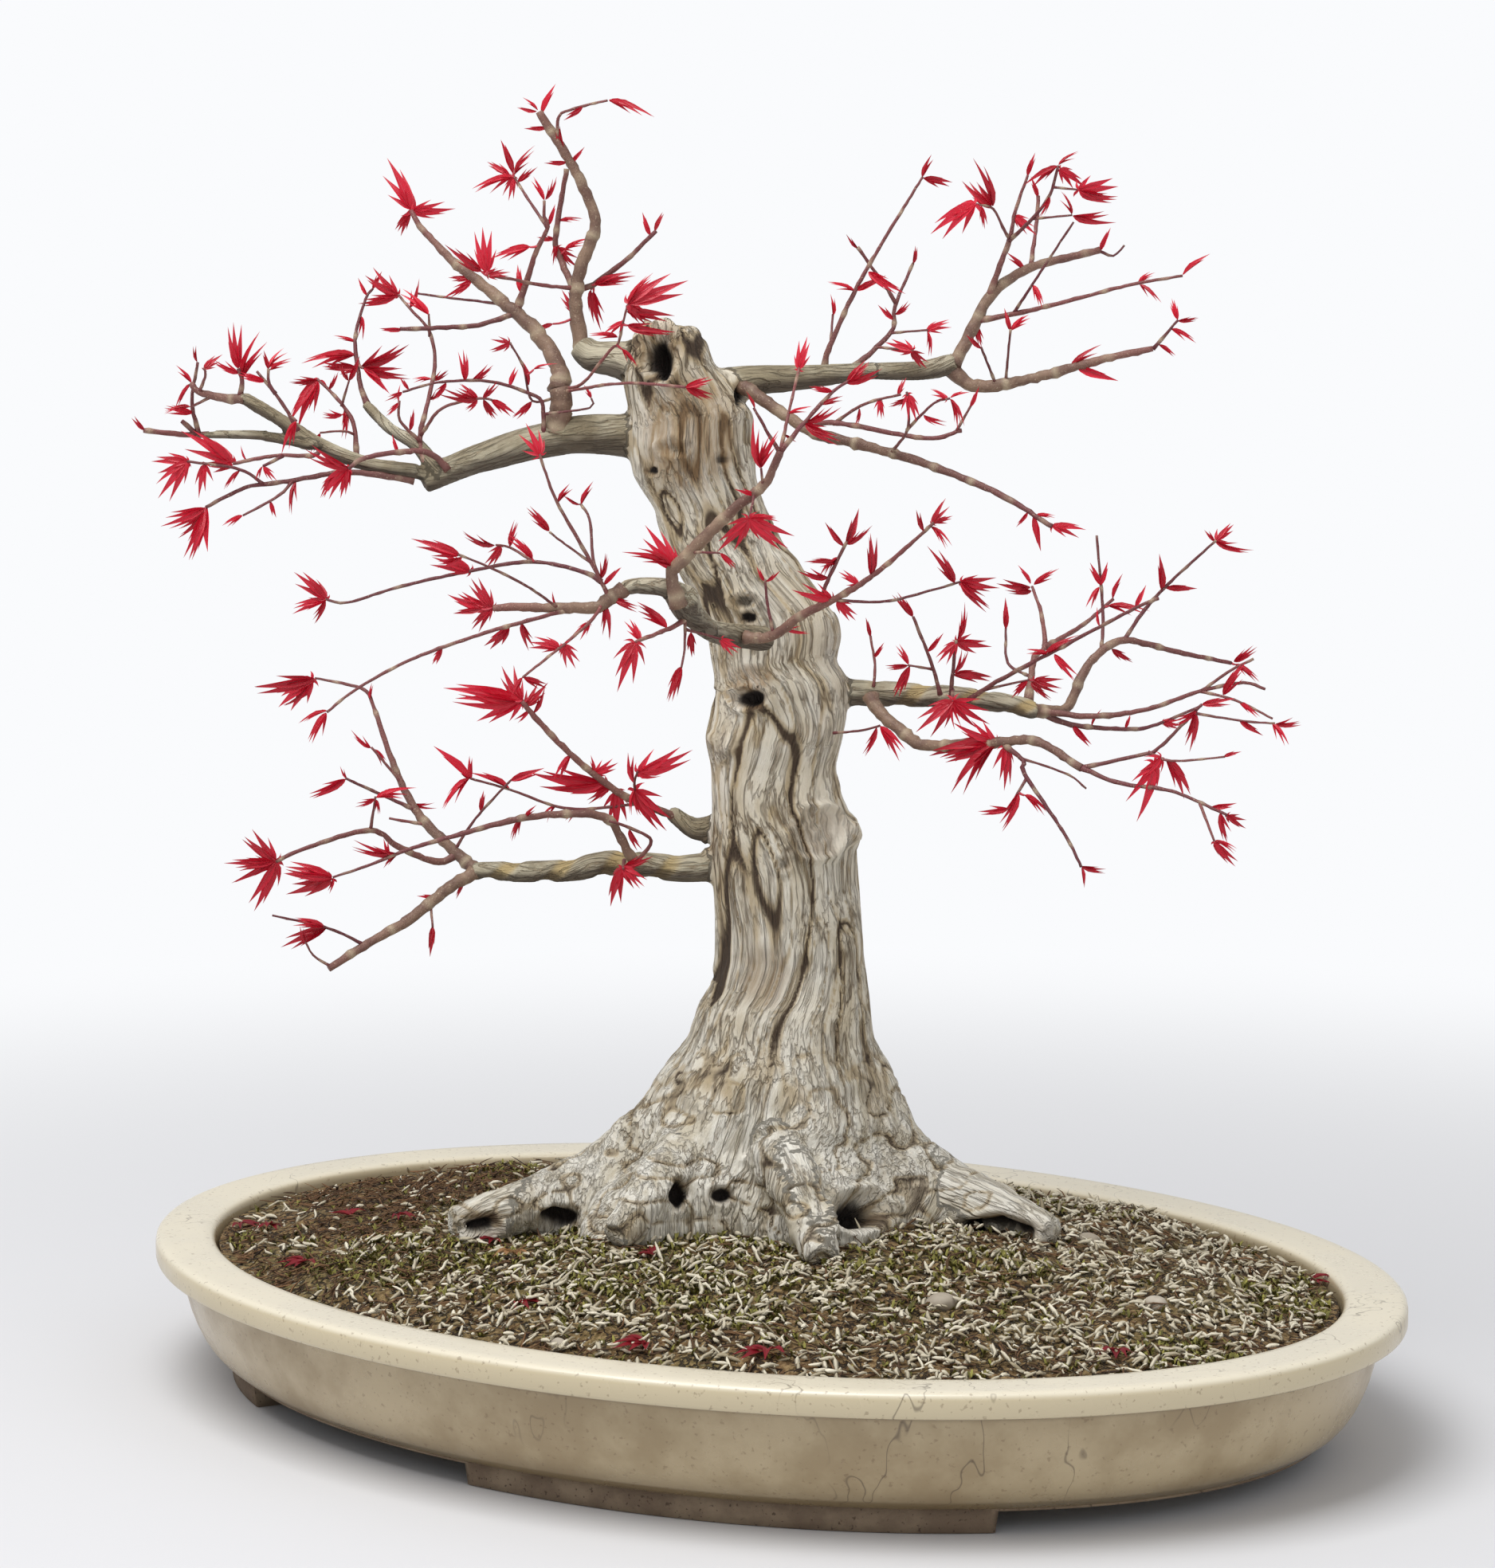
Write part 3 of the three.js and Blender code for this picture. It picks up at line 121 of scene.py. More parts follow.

# Marks on the side of the trunk toward the eye: across, down, half width, half height on the sheet,
# depth and rim height in millimetres, the painted shade that darkens the hollow, brownness.
TRUNK_MARKS = [
    (828, 447, 22, 30, 11, 2.5, 1, 0.3), (846, 562, 20, 11, 1, 1.4, 0.25, 1),
    (818, 592, 9, 6, 1.6, 0.6, 0.9, 0.8), (908, 577, 12, 9, 1, 0.6, 0.6, 0.9),
    (935, 755, 17, 9, 1.5, 1.6, 0.55, 0.3), (939, 775, 12, 8, 3, 0.6, 1, 0.5),
    (942, 877, 23, 12, 5, 2, 1, 0.6), (942, 852, 23, 15, 0.6, 0.2, 0.1, 0.9),
    (885, 925, 11, 12, -1.6, 0, 0, 0.2), (913, 940, 12, 11, -1.6, 0, 0, 0.2),
    (1025, 1045, 27, 26, 0.8, 2.4, 0.15, 0.5), (983, 1085, 10, 10, 0.8, 1.2, 0.4, 0.4),
    (1068, 1040, 14, 26, -3, 0, 0, 0.1), (960, 1225, 26, 34, 0.6, 0.2, 0, 0.6),
    (928, 497, 7, 16, 2.6, 0.4, 0.9, 0.4), (888, 1064, 9, 14, -1.8, 0, 0, 0.3),
    (1080, 1520, 32, 24, 16, 2, 1, 0.3), (1110, 1570, 26, 13, 9, 1, 1, 0.3),
    (602, 1538, 26, 14, 6, 1, 0.9, 0.4), (850, 1500, 12, 21, 8, 1, 1, 0.4),
    (905, 1500, 16, 11, 6, 1, 1, 0.4), (1250, 1548, 55, 22, 7, 1, 0.85, 0.5),
    (700, 1530, 26, 16, 6, 1, 0.85, 0.5),
]

SHOOTS = {
    "apex_shoot": {
        "twigs": [
            (6, 3, -5, -2, 733, 445, 724, 400, 722, 380, 723, 362, 727, 340, 742, 302, 747, 283, 743, 262,
             726, 222, 702, 182, 676, 140),
            (1.6, 1.1, -2, 5, 700, 178, 701, 147, 715, 138, 740, 131, 762, 126),
            (2.8, 2, -8, -1, 723, 364, 745, 357, 785, 327, 803, 310, 823, 290),
            (3, 2.2, -9, -8, 723, 368, 702, 322, 697, 300, 706, 240, 711, 212),
            (2, 1.4, -7, 9, 722, 362, 680, 358, 640, 350, 612, 346),
        ],
        "open": [
            (703, 310, 722, 337, 16), (690, 397, 705, 365, 14), (605, 338, 602, 282, 22),
            (612, 340, 640, 340, 14),
        ],
        "folded": [
            (762, 126, 812, 133, 20), (697, 300, 672, 300, 8), (697, 305, 695, 330, 10),
            (710, 318, 737, 293, 10), (700, 278, 728, 270, 8), (745, 370, 788, 343, 14),
            (745, 366, 738, 397, 12), (748, 368, 748, 413, 14), (604, 342, 567, 315, 12),
        ],
        "buds": [
            (733, 138, 706, 152, 8), (684, 142, 697, 105, 9), (672, 138, 648, 137, 5),
            (672, 138, 658, 122, 6), (686, 161, 657, 162, 5), (706, 192, 697, 150, 6),
            (716, 205, 732, 186, 5), (710, 206, 682, 205, 6), (816, 296, 804, 266, 6),
            (822, 292, 832, 262, 6), (688, 400, 672, 414, 6),
        ],
    },
    "upper_left_crown": {
        "twigs": [
            (9, 8, 3, 4, 695, 545, 703, 512, 703, 487),
            (7, 2.2, 4, -14, 703, 490, 701, 462, 680, 425, 648, 392, 636, 384, 605, 357, 578, 336, 562,
             322, 547, 306, 524, 280, 516, 264),
            (2.4, 2, -4, 5, 645, 397, 600, 408, 560, 411, 502, 413),
            (1.4, 1.1, -5, -12, 634, 383, 600, 378, 565, 374, 522, 368),
            (3.2, 1.4, -4, 5, 646, 393, 655, 372, 672, 318, 688, 284, 683, 272, 683, 252),
            (1.6, 1.2, 3, -4, 686, 286, 657, 241, 645, 222),
            (1.6, 1.3, 5, 38, 706, 492, 730, 488, 760, 483, 800, 481, 860, 486),
            (1.6, 1.1, 5, 18, 706, 488, 730, 482, 765, 440, 776, 430, 783, 400, 788, 382),
            (1.2, 1.1, 4, 10, 700, 497, 668, 503, 657, 462, 640, 430),
        ],
        "open": [
            (510, 262, 493, 198, 26), (520, 262, 566, 265, 22), (642, 218, 636, 249, 20),
            (640, 430, 612, 437, 26), (790, 380, 860, 350, 22), (792, 378, 810, 410, 18),
            (783, 405, 755, 417, 14),
        ],
        "folded": [
            (512, 262, 495, 297, 18), (592, 350, 560, 350, 12), (592, 352, 563, 375, 12),
            (640, 218, 592, 230, 12), (640, 215, 610, 203, 10), (646, 220, 661, 183, 10),
            (650, 228, 672, 210, 8), (683, 252, 672, 222, 7), (685, 248, 702, 225, 10),
            (660, 300, 620, 318, 9), (788, 383, 806, 340, 12), (788, 392, 842, 395, 8),
            (783, 407, 833, 420, 8), (776, 424, 745, 413, 8), (781, 440, 800, 456, 8),
            (673, 467, 691, 450, 9), (860, 484, 892, 477, 7), (860, 488, 896, 501, 9),
            (668, 508, 645, 527, 10),
        ],
        "buds": [
            (506, 412, 477, 418, 9), (640, 215, 632, 172, 7), (655, 370, 648, 330, 8),
            (661, 485, 652, 442, 8), (688, 284, 697, 257, 5),
        ],
    },
    "upper_left_curl": {
        "twigs": [
            (2, 1.1, 6, 13, 682, 545, 680, 505, 660, 492, 610, 478, 550, 480, 505, 492),
            (1.2, 1, 6, 9, 681, 520, 740, 512, 742, 500),
        ],
        "folded": [
            (583, 478, 585, 443, 9), (590, 478, 622, 462, 9), (505, 492, 488, 502, 7),
            (740, 500, 735, 482, 9), (560, 480, 545, 505, 8),
        ],
        "buds": [
            (513, 488, 502, 474, 5), (640, 485, 648, 460, 5),
        ],
    },
    "upper_left_riser": {
        "twigs": [
            (2.6, 1.2, 10, -6, 535, 588, 527, 550, 537, 505, 546, 455, 538, 415, 515, 388, 500, 370),
            (1.4, 1, 3, 1, 541, 422, 538, 394),
            (1.6, 1.2, 10, 14, 530, 548, 550, 516, 572, 506, 602, 500, 618, 502),
            (1.6, 1.3, 10, 11, 528, 555, 502, 528, 501, 503),
        ],
        "open": [
            (500, 368, 455, 345, 16),
        ],
        "folded": [
            (500, 370, 450, 387, 8), (538, 396, 509, 358, 10), (515, 386, 530, 358, 8),
            (545, 477, 518, 472, 6), (543, 478, 565, 468, 6), (600, 500, 553, 503, 10),
            (600, 498, 575, 481, 10), (600, 503, 585, 520, 9), (605, 501, 624, 482, 8),
            (606, 503, 622, 530, 8), (615, 502, 650, 519, 9), (538, 502, 560, 492, 6),
            (502, 505, 488, 520, 7),
        ],
        "buds": [
            (502, 505, 499, 482, 5), (515, 540, 520, 515, 5),
        ],
    },
    "far_left_riser": {
        "twigs": [
            (2.6, 1.2, -1, -10, 462, 510, 453, 487, 446, 440, 447, 415, 459, 375, 468, 362),
            (1.4, 1.2, -5, -1, 447, 450, 452, 460, 456, 462),
        ],
        "folded": [
            (450, 395, 458, 424, 10), (446, 446, 383, 446, 12), (447, 462, 402, 462, 7),
            (452, 460, 512, 441, 8), (454, 461, 508, 478, 8), (446, 430, 424, 418, 8),
        ],
        "buds": [
            (455, 462, 492, 490, 9), (468, 364, 478, 340, 5), (462, 372, 448, 350, 5),
        ],
    },
    "far_left_curl": {
        "twigs": [
            (2.4, 1.4, 5, 0, 448, 576, 443, 530, 420, 497, 398, 476),
            (1.2, 1, 5, 9, 446, 545, 430, 541, 402, 543), (1.2, 1, 3, 7, 432, 507, 438, 478),
        ],
        "open": [
            (398, 480, 356, 528, 22),
        ],
        "folded": [
            (398, 482, 386, 520, 14), (398, 478, 366, 482, 8), (438, 478, 424, 460, 7),
            (435, 511, 441, 548, 8), (430, 523, 400, 525, 7), (402, 543, 390, 570, 6),
            (412, 490, 425, 470, 6),
        ],
        "buds": [
            (438, 478, 452, 450, 6),
        ],
    },
    "far_left_tip": {
        "twigs": [
            (3.6, 2.6, 11, 7, 306, 500, 285, 500, 250, 492, 240, 481),
            (2.2, 1.8, 11, 13, 300, 498, 304, 480, 299, 463), (1.4, 1.2, 8, 6, 268, 499, 240, 511),
            (1.4, 1.2, 9, 13, 250, 492, 258, 470, 255, 462),
        ],
        "open": [
            (255, 464, 276, 445, 14),
        ],
        "folded": [
            (300, 466, 288, 414, 10), (304, 478, 313, 420, 9), (240, 482, 215, 505, 8),
            (240, 511, 203, 510, 9), (296, 470, 268, 458, 7),
        ],
        "buds": [
            (240, 482, 222, 458, 6),
        ],
    },
    "far_left_tall_twig": {
        "twigs": [
            (2, 1.3, 16, 18, 374, 541, 358, 512, 338, 482, 337, 463),
            (1.6, 1.3, 17, 17, 346, 494, 322, 466), (1.2, 1, 17, 20, 362, 520, 372, 528),
        ],
        "folded": [
            (337, 463, 354, 433, 10), (338, 466, 362, 447, 8), (333, 479, 300, 470, 7),
            (372, 528, 352, 563, 10),
        ],
        "buds": [
            (337, 464, 330, 438, 5),
        ],
    },
    "far_left_grey_twigs": {
        "twigs": [
            (2.6, 2.2, 0, 5, 262, 546, 225, 545, 180, 540),
            (2.2, 1.3, 1, 5, 250, 546, 241, 505, 248, 455), (2.4, 2, 0, 2, 246, 545, 228, 528),
        ],
        "folded": [
            (243, 518, 206, 514, 9),
        ],
        "buds": [
            (182, 540, 164, 524, 5), (248, 455, 240, 430, 5),
        ],
    },
    "far_left_red_stem": {
        "twigs": [
            (2, 1.6, 15, 18, 400, 566, 392, 572, 345, 572, 292, 582),
            (1.6, 1.4, 17, 19, 355, 572, 330, 585),
        ],
        "open": [
            (290, 581, 230, 543, 24),
        ],
        "folded": [
            (328, 585, 345, 604, 14), (292, 584, 258, 592, 9), (330, 584, 318, 602, 8),
        ],
        "buds": [
            (310, 578, 300, 560, 5),
        ],
    },
    "left_drooping_shoot": {
        "twigs": [
            (3, 1.6, 12, 18, 520, 603, 480, 597, 430, 593, 355, 605, 308, 612, 258, 637),
            (1.6, 1.2, 17, 21, 368, 605, 350, 622, 305, 647),
            (1.6, 1.2, 17, 21, 332, 609, 300, 589, 235, 579),
        ],
        "open": [
            (237, 580, 186, 583, 18), (232, 582, 200, 620, 20), (258, 585, 245, 622, 26),
        ],
        "folded": [
            (305, 647, 280, 657, 7), (302, 590, 278, 610, 9), (373, 604, 356, 640, 14),
            (258, 638, 208, 662, 9), (257, 640, 227, 681, 9), (257, 642, 241, 699, 10),
            (420, 594, 398, 622, 10),
        ],
        "buds": [
            (262, 640, 258, 688, 5), (340, 630, 345, 652, 5),
        ],
    },
    "left_front_red_stem": {
        "twigs": [
            (2.8, 2, 11, 19, 562, 590, 545, 572, 520, 566, 460, 574, 437, 588),
        ],
        "open": [
            (437, 586, 397, 620, 22),
        ],
        "folded": [
            (438, 586, 380, 576, 12), (440, 586, 425, 628, 9),
        ],
        "buds": [
            (500, 567, 492, 548, 5),
        ],
    },
    "front_rising_shoot": {
        "twigs": [
            (5, 3, 62, 74, 852, 760, 842, 722, 858, 702, 918, 642, 958, 610, 972, 583, 980, 566),
            (1.8, 1.2, 74, 76, 979, 568, 965, 546, 946, 512),
            (1.6, 1.2, 74, 68, 981, 568, 985, 540, 1003, 461),
            (2.2, 1.4, 74, 72, 982, 566, 1010, 530, 1045, 492, 1066, 478),
            (1.2, 1, 73, 77, 948, 620, 940, 650), (1.2, 1, 67, 74, 868, 694, 903, 694),
            (1.2, 1, 73, 76, 958, 611, 955, 588),
        ],
        "open": [
            (1003, 464, 1010, 423, 14), (940, 652, 905, 694, 32), (942, 652, 992, 692, 38),
            (846, 690, 868, 680, 20), (850, 716, 815, 664, 14),
        ],
        "folded": [
            (1012, 532, 1058, 517, 8), (1012, 534, 1050, 555, 12), (1045, 490, 1020, 487, 10),
            (1062, 480, 1092, 450, 12), (1062, 482, 1106, 470, 10), (1030, 508, 1056, 496, 10),
            (957, 588, 940, 540, 10), (955, 588, 964, 545, 9), (845, 712, 798, 680, 12),
            (903, 694, 925, 712, 10), (940, 650, 975, 645, 9), (990, 520, 1012, 505, 7),
        ],
        "buds": [
            (946, 514, 937, 488, 8), (985, 545, 1000, 555, 5), (948, 622, 925, 612, 6),
        ],
    },
    "front_left_shoot": {
        "twigs": [
            (5, 2.6, 62, 66, 785, 738, 764, 752, 750, 762, 720, 763, 650, 762, 618, 763),
            (2, 1.2, 66, 77, 720, 764, 655, 781, 600, 797, 515, 828, 447, 865, 410, 894),
            (2, 1.2, 62, 77, 765, 752, 757, 735, 737, 697, 700, 632, 687, 600, 677, 570),
            (1.6, 1.2, 64, 58, 752, 727, 744, 700, 740, 652, 728, 632),
            (2, 1.2, 63, 48, 755, 730, 735, 719, 670, 705, 588, 717, 500, 737, 437, 756, 408, 752),
            (1.3, 1.1, 54, 58, 670, 704, 640, 687, 622, 684),
            (1.2, 1, 60, 73, 740, 708, 705, 680, 690, 668),
            (1.3, 1, 73, 90, 700, 762, 660, 735, 612, 711, 575, 696),
            (1.6, 1.1, 64, 90, 758, 760, 740, 781, 700, 815, 656, 850),
        ],
        "open": [
            (618, 762, 590, 728, 18), (618, 765, 588, 790, 18), (677, 572, 660, 532, 36),
            (410, 752, 370, 718, 14), (628, 686, 614, 714, 18), (708, 808, 720, 842, 26),
            (702, 812, 662, 802, 18), (590, 716, 545, 700, 14), (740, 782, 720, 800, 12),
        ],
        "folded": [
            (620, 763, 553, 755, 9), (640, 786, 608, 822, 11), (655, 781, 662, 818, 10),
            (408, 752, 398, 785, 9), (410, 755, 368, 762, 12), (578, 698, 522, 676, 9),
            (580, 700, 547, 716, 8), (622, 684, 575, 680, 8), (640, 687, 642, 660, 10),
            (690, 668, 667, 640, 9), (672, 700, 647, 672, 8), (655, 850, 690, 862, 14),
            (770, 752, 800, 768, 9), (762, 762, 768, 800, 8), (756, 726, 766, 696, 8),
            (555, 812, 540, 838, 7), (412, 893, 370, 898, 9), (410, 896, 385, 930, 10),
            (656, 850, 640, 872, 10),
        ],
        "buds": [
            (700, 632, 716, 606, 6), (600, 766, 565, 770, 5), (728, 634, 705, 622, 6),
            (730, 634, 742, 606, 6), (758, 735, 782, 708, 6), (700, 762, 690, 742, 5),
        ],
    },
    "front_hanging_shoot": {
        "twigs": [
            (2.4, 1.6, 56, 70, 866, 770, 848, 785, 797, 806),
            (1.3, 1, 57, 63, 868, 785, 859, 815, 855, 838), (1.3, 1, 52, 52, 885, 790, 905, 802),
        ],
        "open": [
            (795, 806, 778, 860, 44), (905, 802, 926, 824, 22), (802, 803, 790, 772, 16),
        ],
        "folded": [
            (855, 836, 838, 878, 11), (838, 790, 800, 752, 9), (866, 795, 868, 828, 9),
        ],
    },
    "front_right_shoot": {
        "twigs": [
            (4, 1.4, 36, 66, 935, 800, 968, 799, 1005, 773, 1060, 745, 1105, 715, 1150, 676, 1172, 656),
            (2, 1.5, 47, 54, 1028, 762, 1036, 735, 1055, 695, 1063, 680),
            (1.4, 1.1, 49, 67, 1045, 756, 1110, 755, 1175, 739, 1205, 730),
            (1.4, 1.2, 38, 40, 970, 796, 963, 757, 960, 727),
        ],
        "open": [
            (1170, 657, 1185, 628, 14), (1045, 753, 998, 743, 22), (1050, 755, 1075, 780, 22),
            (1205, 730, 1250, 738, 14), (1078, 735, 1054, 716, 12),
        ],
        "folded": [
            (1172, 657, 1198, 646, 8), (1168, 662, 1197, 682, 9), (1054, 700, 1024, 718, 12),
            (1050, 708, 1016, 700, 8), (1040, 724, 997, 724, 10), (1092, 722, 1098, 678, 11),
            (1205, 732, 1241, 768, 8), (1198, 732, 1177, 692, 12), (985, 788, 1015, 800, 13),
            (1062, 684, 1092, 670, 8),
        ],
        "buds": [
            (1060, 684, 1078, 640, 9), (1060, 686, 1033, 656, 6), (1160, 668, 1150, 638, 7),
            (961, 730, 948, 712, 6), (961, 730, 980, 716, 6),
        ],
    },
    "lower_right_tip": {
        "twigs": [
            (4.4, 1.8, 2, -16, 1296, 892, 1338, 889, 1357, 848, 1377, 822, 1412, 804, 1480, 819, 1545,
             832),
            (2, 1.2, -12, -3, 1410, 806, 1436, 766, 1466, 733, 1526, 678),
            (1.8, 1.2, -10, -14, 1382, 820, 1384, 770, 1376, 672),
            (3, 1.4, 2, 14, 1298, 892, 1370, 899, 1440, 890, 1508, 867, 1560, 857, 1588, 865),
            (1.5, 1.2, 12, 13, 1508, 867, 1545, 841, 1573, 827),
            (1.4, 1.1, 12, 17, 1506, 869, 1550, 879, 1597, 902),
            (2.8, 1.3, 1, -9, 1300, 894, 1345, 910, 1412, 915, 1447, 911, 1508, 886),
        ],
        "open": [
            (1526, 680, 1552, 656, 14), (1458, 905, 1484, 912, 10),
        ],
        "folded": [
            (1548, 833, 1575, 818, 9), (1548, 834, 1578, 846, 9), (1526, 680, 1562, 700, 8),
            (1378, 735, 1362, 760, 12), (1555, 880, 1580, 896, 10), (1534, 874, 1555, 833, 10),
            (1395, 816, 1420, 834, 6),
        ],
        "buds": [
            (1458, 742, 1456, 700, 7), (1462, 738, 1502, 738, 6), (1524, 680, 1512, 664, 6),
            (1380, 735, 1366, 703, 6), (1380, 735, 1392, 705, 6), (1345, 911, 1369, 939, 7),
            (1370, 912, 1380, 890, 5), (1412, 915, 1418, 896, 5),
        ],
    },
    "lower_right_twig_a": {
        "twigs": [
            (2, 1.4, 9, 14, 1180, 872, 1168, 830, 1146, 774), (1.2, 1, 11, 14, 1170, 840, 1140, 835),
        ],
        "folded": [
            (1148, 776, 1128, 748, 12), (1140, 833, 1128, 804, 8), (1140, 835, 1112, 840, 8),
            (1142, 836, 1121, 877, 9),
        ],
        "buds": [
            (1164, 818, 1184, 796, 6),
        ],
    },
    "lower_right_twig_b": {
        "twigs": [
            (2, 1.3, 9, 13, 1193, 874, 1195, 850, 1200, 803),
        ],
        "open": [
            (1200, 805, 1245, 816, 14), (1198, 806, 1176, 832, 26),
        ],
        "folded": [
            (1200, 805, 1219, 770, 10), (1197, 846, 1220, 815, 12), (1196, 848, 1250, 844, 12),
        ],
    },
    "lower_right_long_twig": {
        "twigs": [
            (2.2, 1.6, 9, 28, 1216, 878, 1250, 856, 1340, 808, 1425, 763, 1454, 751),
            (1.3, 1, 11, 15, 1235, 866, 1292, 853),
        ],
        "open": [
            (1300, 852, 1334, 864, 15),
        ],
        "folded": [
            (1310, 826, 1350, 790, 12), (1322, 820, 1345, 850, 8), (1316, 822, 1288, 812, 8),
            (1290, 853, 1268, 876, 7), (1296, 854, 1312, 880, 8),
        ],
        "buds": [
            (1425, 764, 1436, 736, 5), (1380, 786, 1374, 764, 5),
        ],
    },
    "lower_right_rear_riser": {
        "twigs": [
            (3.4, 1.5, -1, -20, 1290, 882, 1298, 825, 1311, 812, 1306, 768, 1295, 736),
            (2.6, 1.6, -15, -25, 1311, 812, 1355, 787, 1397, 752),
            (1.5, 1.3, -8, -22, 1293, 850, 1265, 832, 1262, 788),
        ],
        "folded": [
            (1297, 732, 1324, 712, 6), (1294, 742, 1262, 746, 9), (1388, 764, 1438, 757, 10),
        ],
        "buds": [
            (1293, 738, 1250, 732, 6), (1293, 732, 1278, 708, 6), (1396, 752, 1405, 720, 6),
            (1262, 790, 1262, 756, 7),
        ],
    },
    "lower_right_front_pair": {
        "twigs": [
            (1.6, 1.2, 9, 17, 1195, 866, 1196, 880),
        ],
        "open": [
            (1195, 880, 1152, 917, 40), (1197, 880, 1240, 915, 40),
        ],
        "folded": [
            (1196, 882, 1195, 912, 14),
        ],
    },
    "lower_right_grey_twig": {
        "twigs": [
            (1.4, 1.2, 3, 1, 1096, 862, 1098, 835, 1092, 798),
        ],
        "buds": [
            (1092, 800, 1086, 776, 6), (1097, 826, 1110, 806, 5),
        ],
    },
    "trunk_front_pair": {
        "twigs": [
            (1.2, 1.1, 14, 24, 1046, 920, 1080, 917, 1104, 911),
        ],
        "folded": [
            (1100, 912, 1090, 948, 10), (1104, 912, 1137, 946, 12),
        ],
    },
    "right_hanging_shoot": {
        "twigs": [
            (5, 3, 8, 43, 1092, 874, 1103, 893, 1142, 926, 1165, 936, 1248, 932, 1302, 931, 1357, 964),
            (2.4, 1.4, 34, 48, 1256, 936, 1284, 955, 1286, 972, 1335, 1045, 1357, 1088),
            (1.2, 1, 34, 34, 1278, 952, 1340, 972, 1363, 990), (1.3, 1.1, 37, 40, 1288, 976, 1265, 1017),
            (2, 1.4, 43, 52, 1357, 963, 1430, 948, 1455, 938, 1508, 884),
            (1.2, 1, 51, 56, 1498, 896, 1560, 905, 1600, 908),
            (2.2, 1.4, 43, 59, 1357, 966, 1405, 983, 1470, 993, 1540, 1023),
            (1.3, 1.1, 57, 60, 1505, 1010, 1524, 1056), (1.2, 1, 48, 55, 1442, 946, 1470, 955, 1537, 950),
        ],
        "open": [
            (1250, 936, 1195, 910, 28), (1258, 940, 1266, 986, 24), (1460, 944, 1440, 976, 34),
            (1445, 962, 1432, 1022, 40), (1540, 1022, 1566, 1042, 15), (1524, 1058, 1548, 1090, 12),
        ],
        "folded": [
            (1250, 938, 1160, 942, 14), (1250, 940, 1187, 955, 9), (1252, 940, 1189, 988, 9),
            (1282, 996, 1262, 1044, 12), (1267, 1015, 1227, 1022, 7), (1288, 1000, 1320, 1016, 8),
            (1460, 956, 1503, 998, 13), (1530, 1022, 1538, 1060, 12), (1508, 885, 1545, 878, 8),
            (1503, 888, 1475, 918, 12), (1500, 893, 1500, 942, 8), (1600, 908, 1636, 912, 10),
            (1596, 908, 1618, 932, 10), (1524, 1056, 1555, 1062, 8), (1358, 1086, 1385, 1098, 7),
        ],
        "buds": [
            (1357, 1088, 1362, 1112, 5), (1535, 950, 1556, 942, 5), (1520, 1010, 1552, 1010, 6),
            (1555, 904, 1584, 922, 7),
        ],
    },
    "upper_right_tall_riser": {
        "twigs": [
            (5, 2.8, -18, -28, 1196, 458, 1222, 410, 1241, 374, 1290, 337, 1380, 314),
            (3, 1.3, -21, -22, 1241, 374, 1252, 340, 1267, 300, 1274, 265, 1290, 220),
            (1.6, 1, -17, -12, 1266, 300, 1258, 285, 1246, 262, 1225, 256),
            (2, 1.3, -16, -8, 1268, 304, 1298, 272, 1318, 243, 1328, 208),
            (2, 1.8, -28, -32, 1293, 336, 1300, 285, 1303, 246),
            (2.6, 1.3, -19, -9, 1228, 404, 1300, 388, 1412, 359, 1484, 346),
            (1.5, 1.1, -16, -6, 1272, 395, 1293, 361, 1347, 279),
            (1.3, 1.1, -28, -28, 1378, 315, 1397, 321, 1411, 308), (1.2, 1, -8, -6, 1324, 236, 1352, 238),
            (1.2, 1, -9, -5, 1296, 276, 1345, 270),
        ],
        "open": [
            (1224, 258, 1162, 285, 26), (1270, 270, 1298, 292, 20), (1332, 212, 1362, 234, 14),
            (1354, 240, 1410, 236, 18),
        ],
        "folded": [
            (1246, 262, 1238, 208, 8), (1246, 262, 1207, 230, 8), (1230, 260, 1238, 284, 12),
            (1327, 208, 1286, 226, 10), (1328, 208, 1350, 184, 10), (1318, 246, 1312, 274, 10),
            (1352, 240, 1405, 262, 10), (1346, 272, 1400, 286, 12), (1345, 272, 1338, 240, 9),
            (1294, 356, 1310, 382, 7), (1428, 357, 1445, 338, 10), (1428, 358, 1457, 372, 8),
            (1228, 408, 1232, 436, 7),
        ],
        "buds": [
            (1290, 222, 1298, 192, 6), (1285, 338, 1262, 314, 6), (1380, 316, 1392, 286, 6),
            (1484, 346, 1514, 318, 8), (1303, 248, 1292, 222, 5),
        ],
    },
    "upper_right_tip_shoot": {
        "twigs": [
            (5.4, 2.6, -18, -10, 1192, 462, 1215, 482, 1245, 484, 1300, 474, 1380, 452, 1447, 438),
            (1.7, 1.4, -10, -7, 1447, 438, 1478, 402), (1.4, 1.1, -15, -9, 1262, 482, 1268, 414),
            (1.4, 1.1, -15, -9, 1250, 483, 1231, 436),
        ],
        "folded": [
            (1343, 463, 1373, 432, 8), (1480, 402, 1470, 374, 9), (1479, 404, 1504, 402, 8),
            (1470, 414, 1502, 424, 12), (1268, 416, 1290, 390, 7),
        ],
        "buds": [
            (1350, 461, 1402, 478, 8), (1455, 434, 1478, 446, 6), (1268, 416, 1262, 388, 6),
            (1231, 438, 1212, 420, 6),
        ],
    },
    "upper_right_leaning_twig": {
        "twigs": [
            (2.8, 1.2, -12, -10, 1037, 474, 1036, 450, 1062, 387, 1092, 330, 1143, 246, 1158, 222),
            (1.3, 1.2, -14, -17, 1040, 434, 1045, 395),
        ],
        "folded": [
            (1158, 224, 1200, 230, 11), (1072, 366, 1040, 348, 8), (1088, 340, 1126, 366, 12),
        ],
        "buds": [
            (1157, 223, 1168, 194, 9), (1074, 365, 1110, 344, 6), (1045, 397, 1046, 370, 7),
        ],
    },
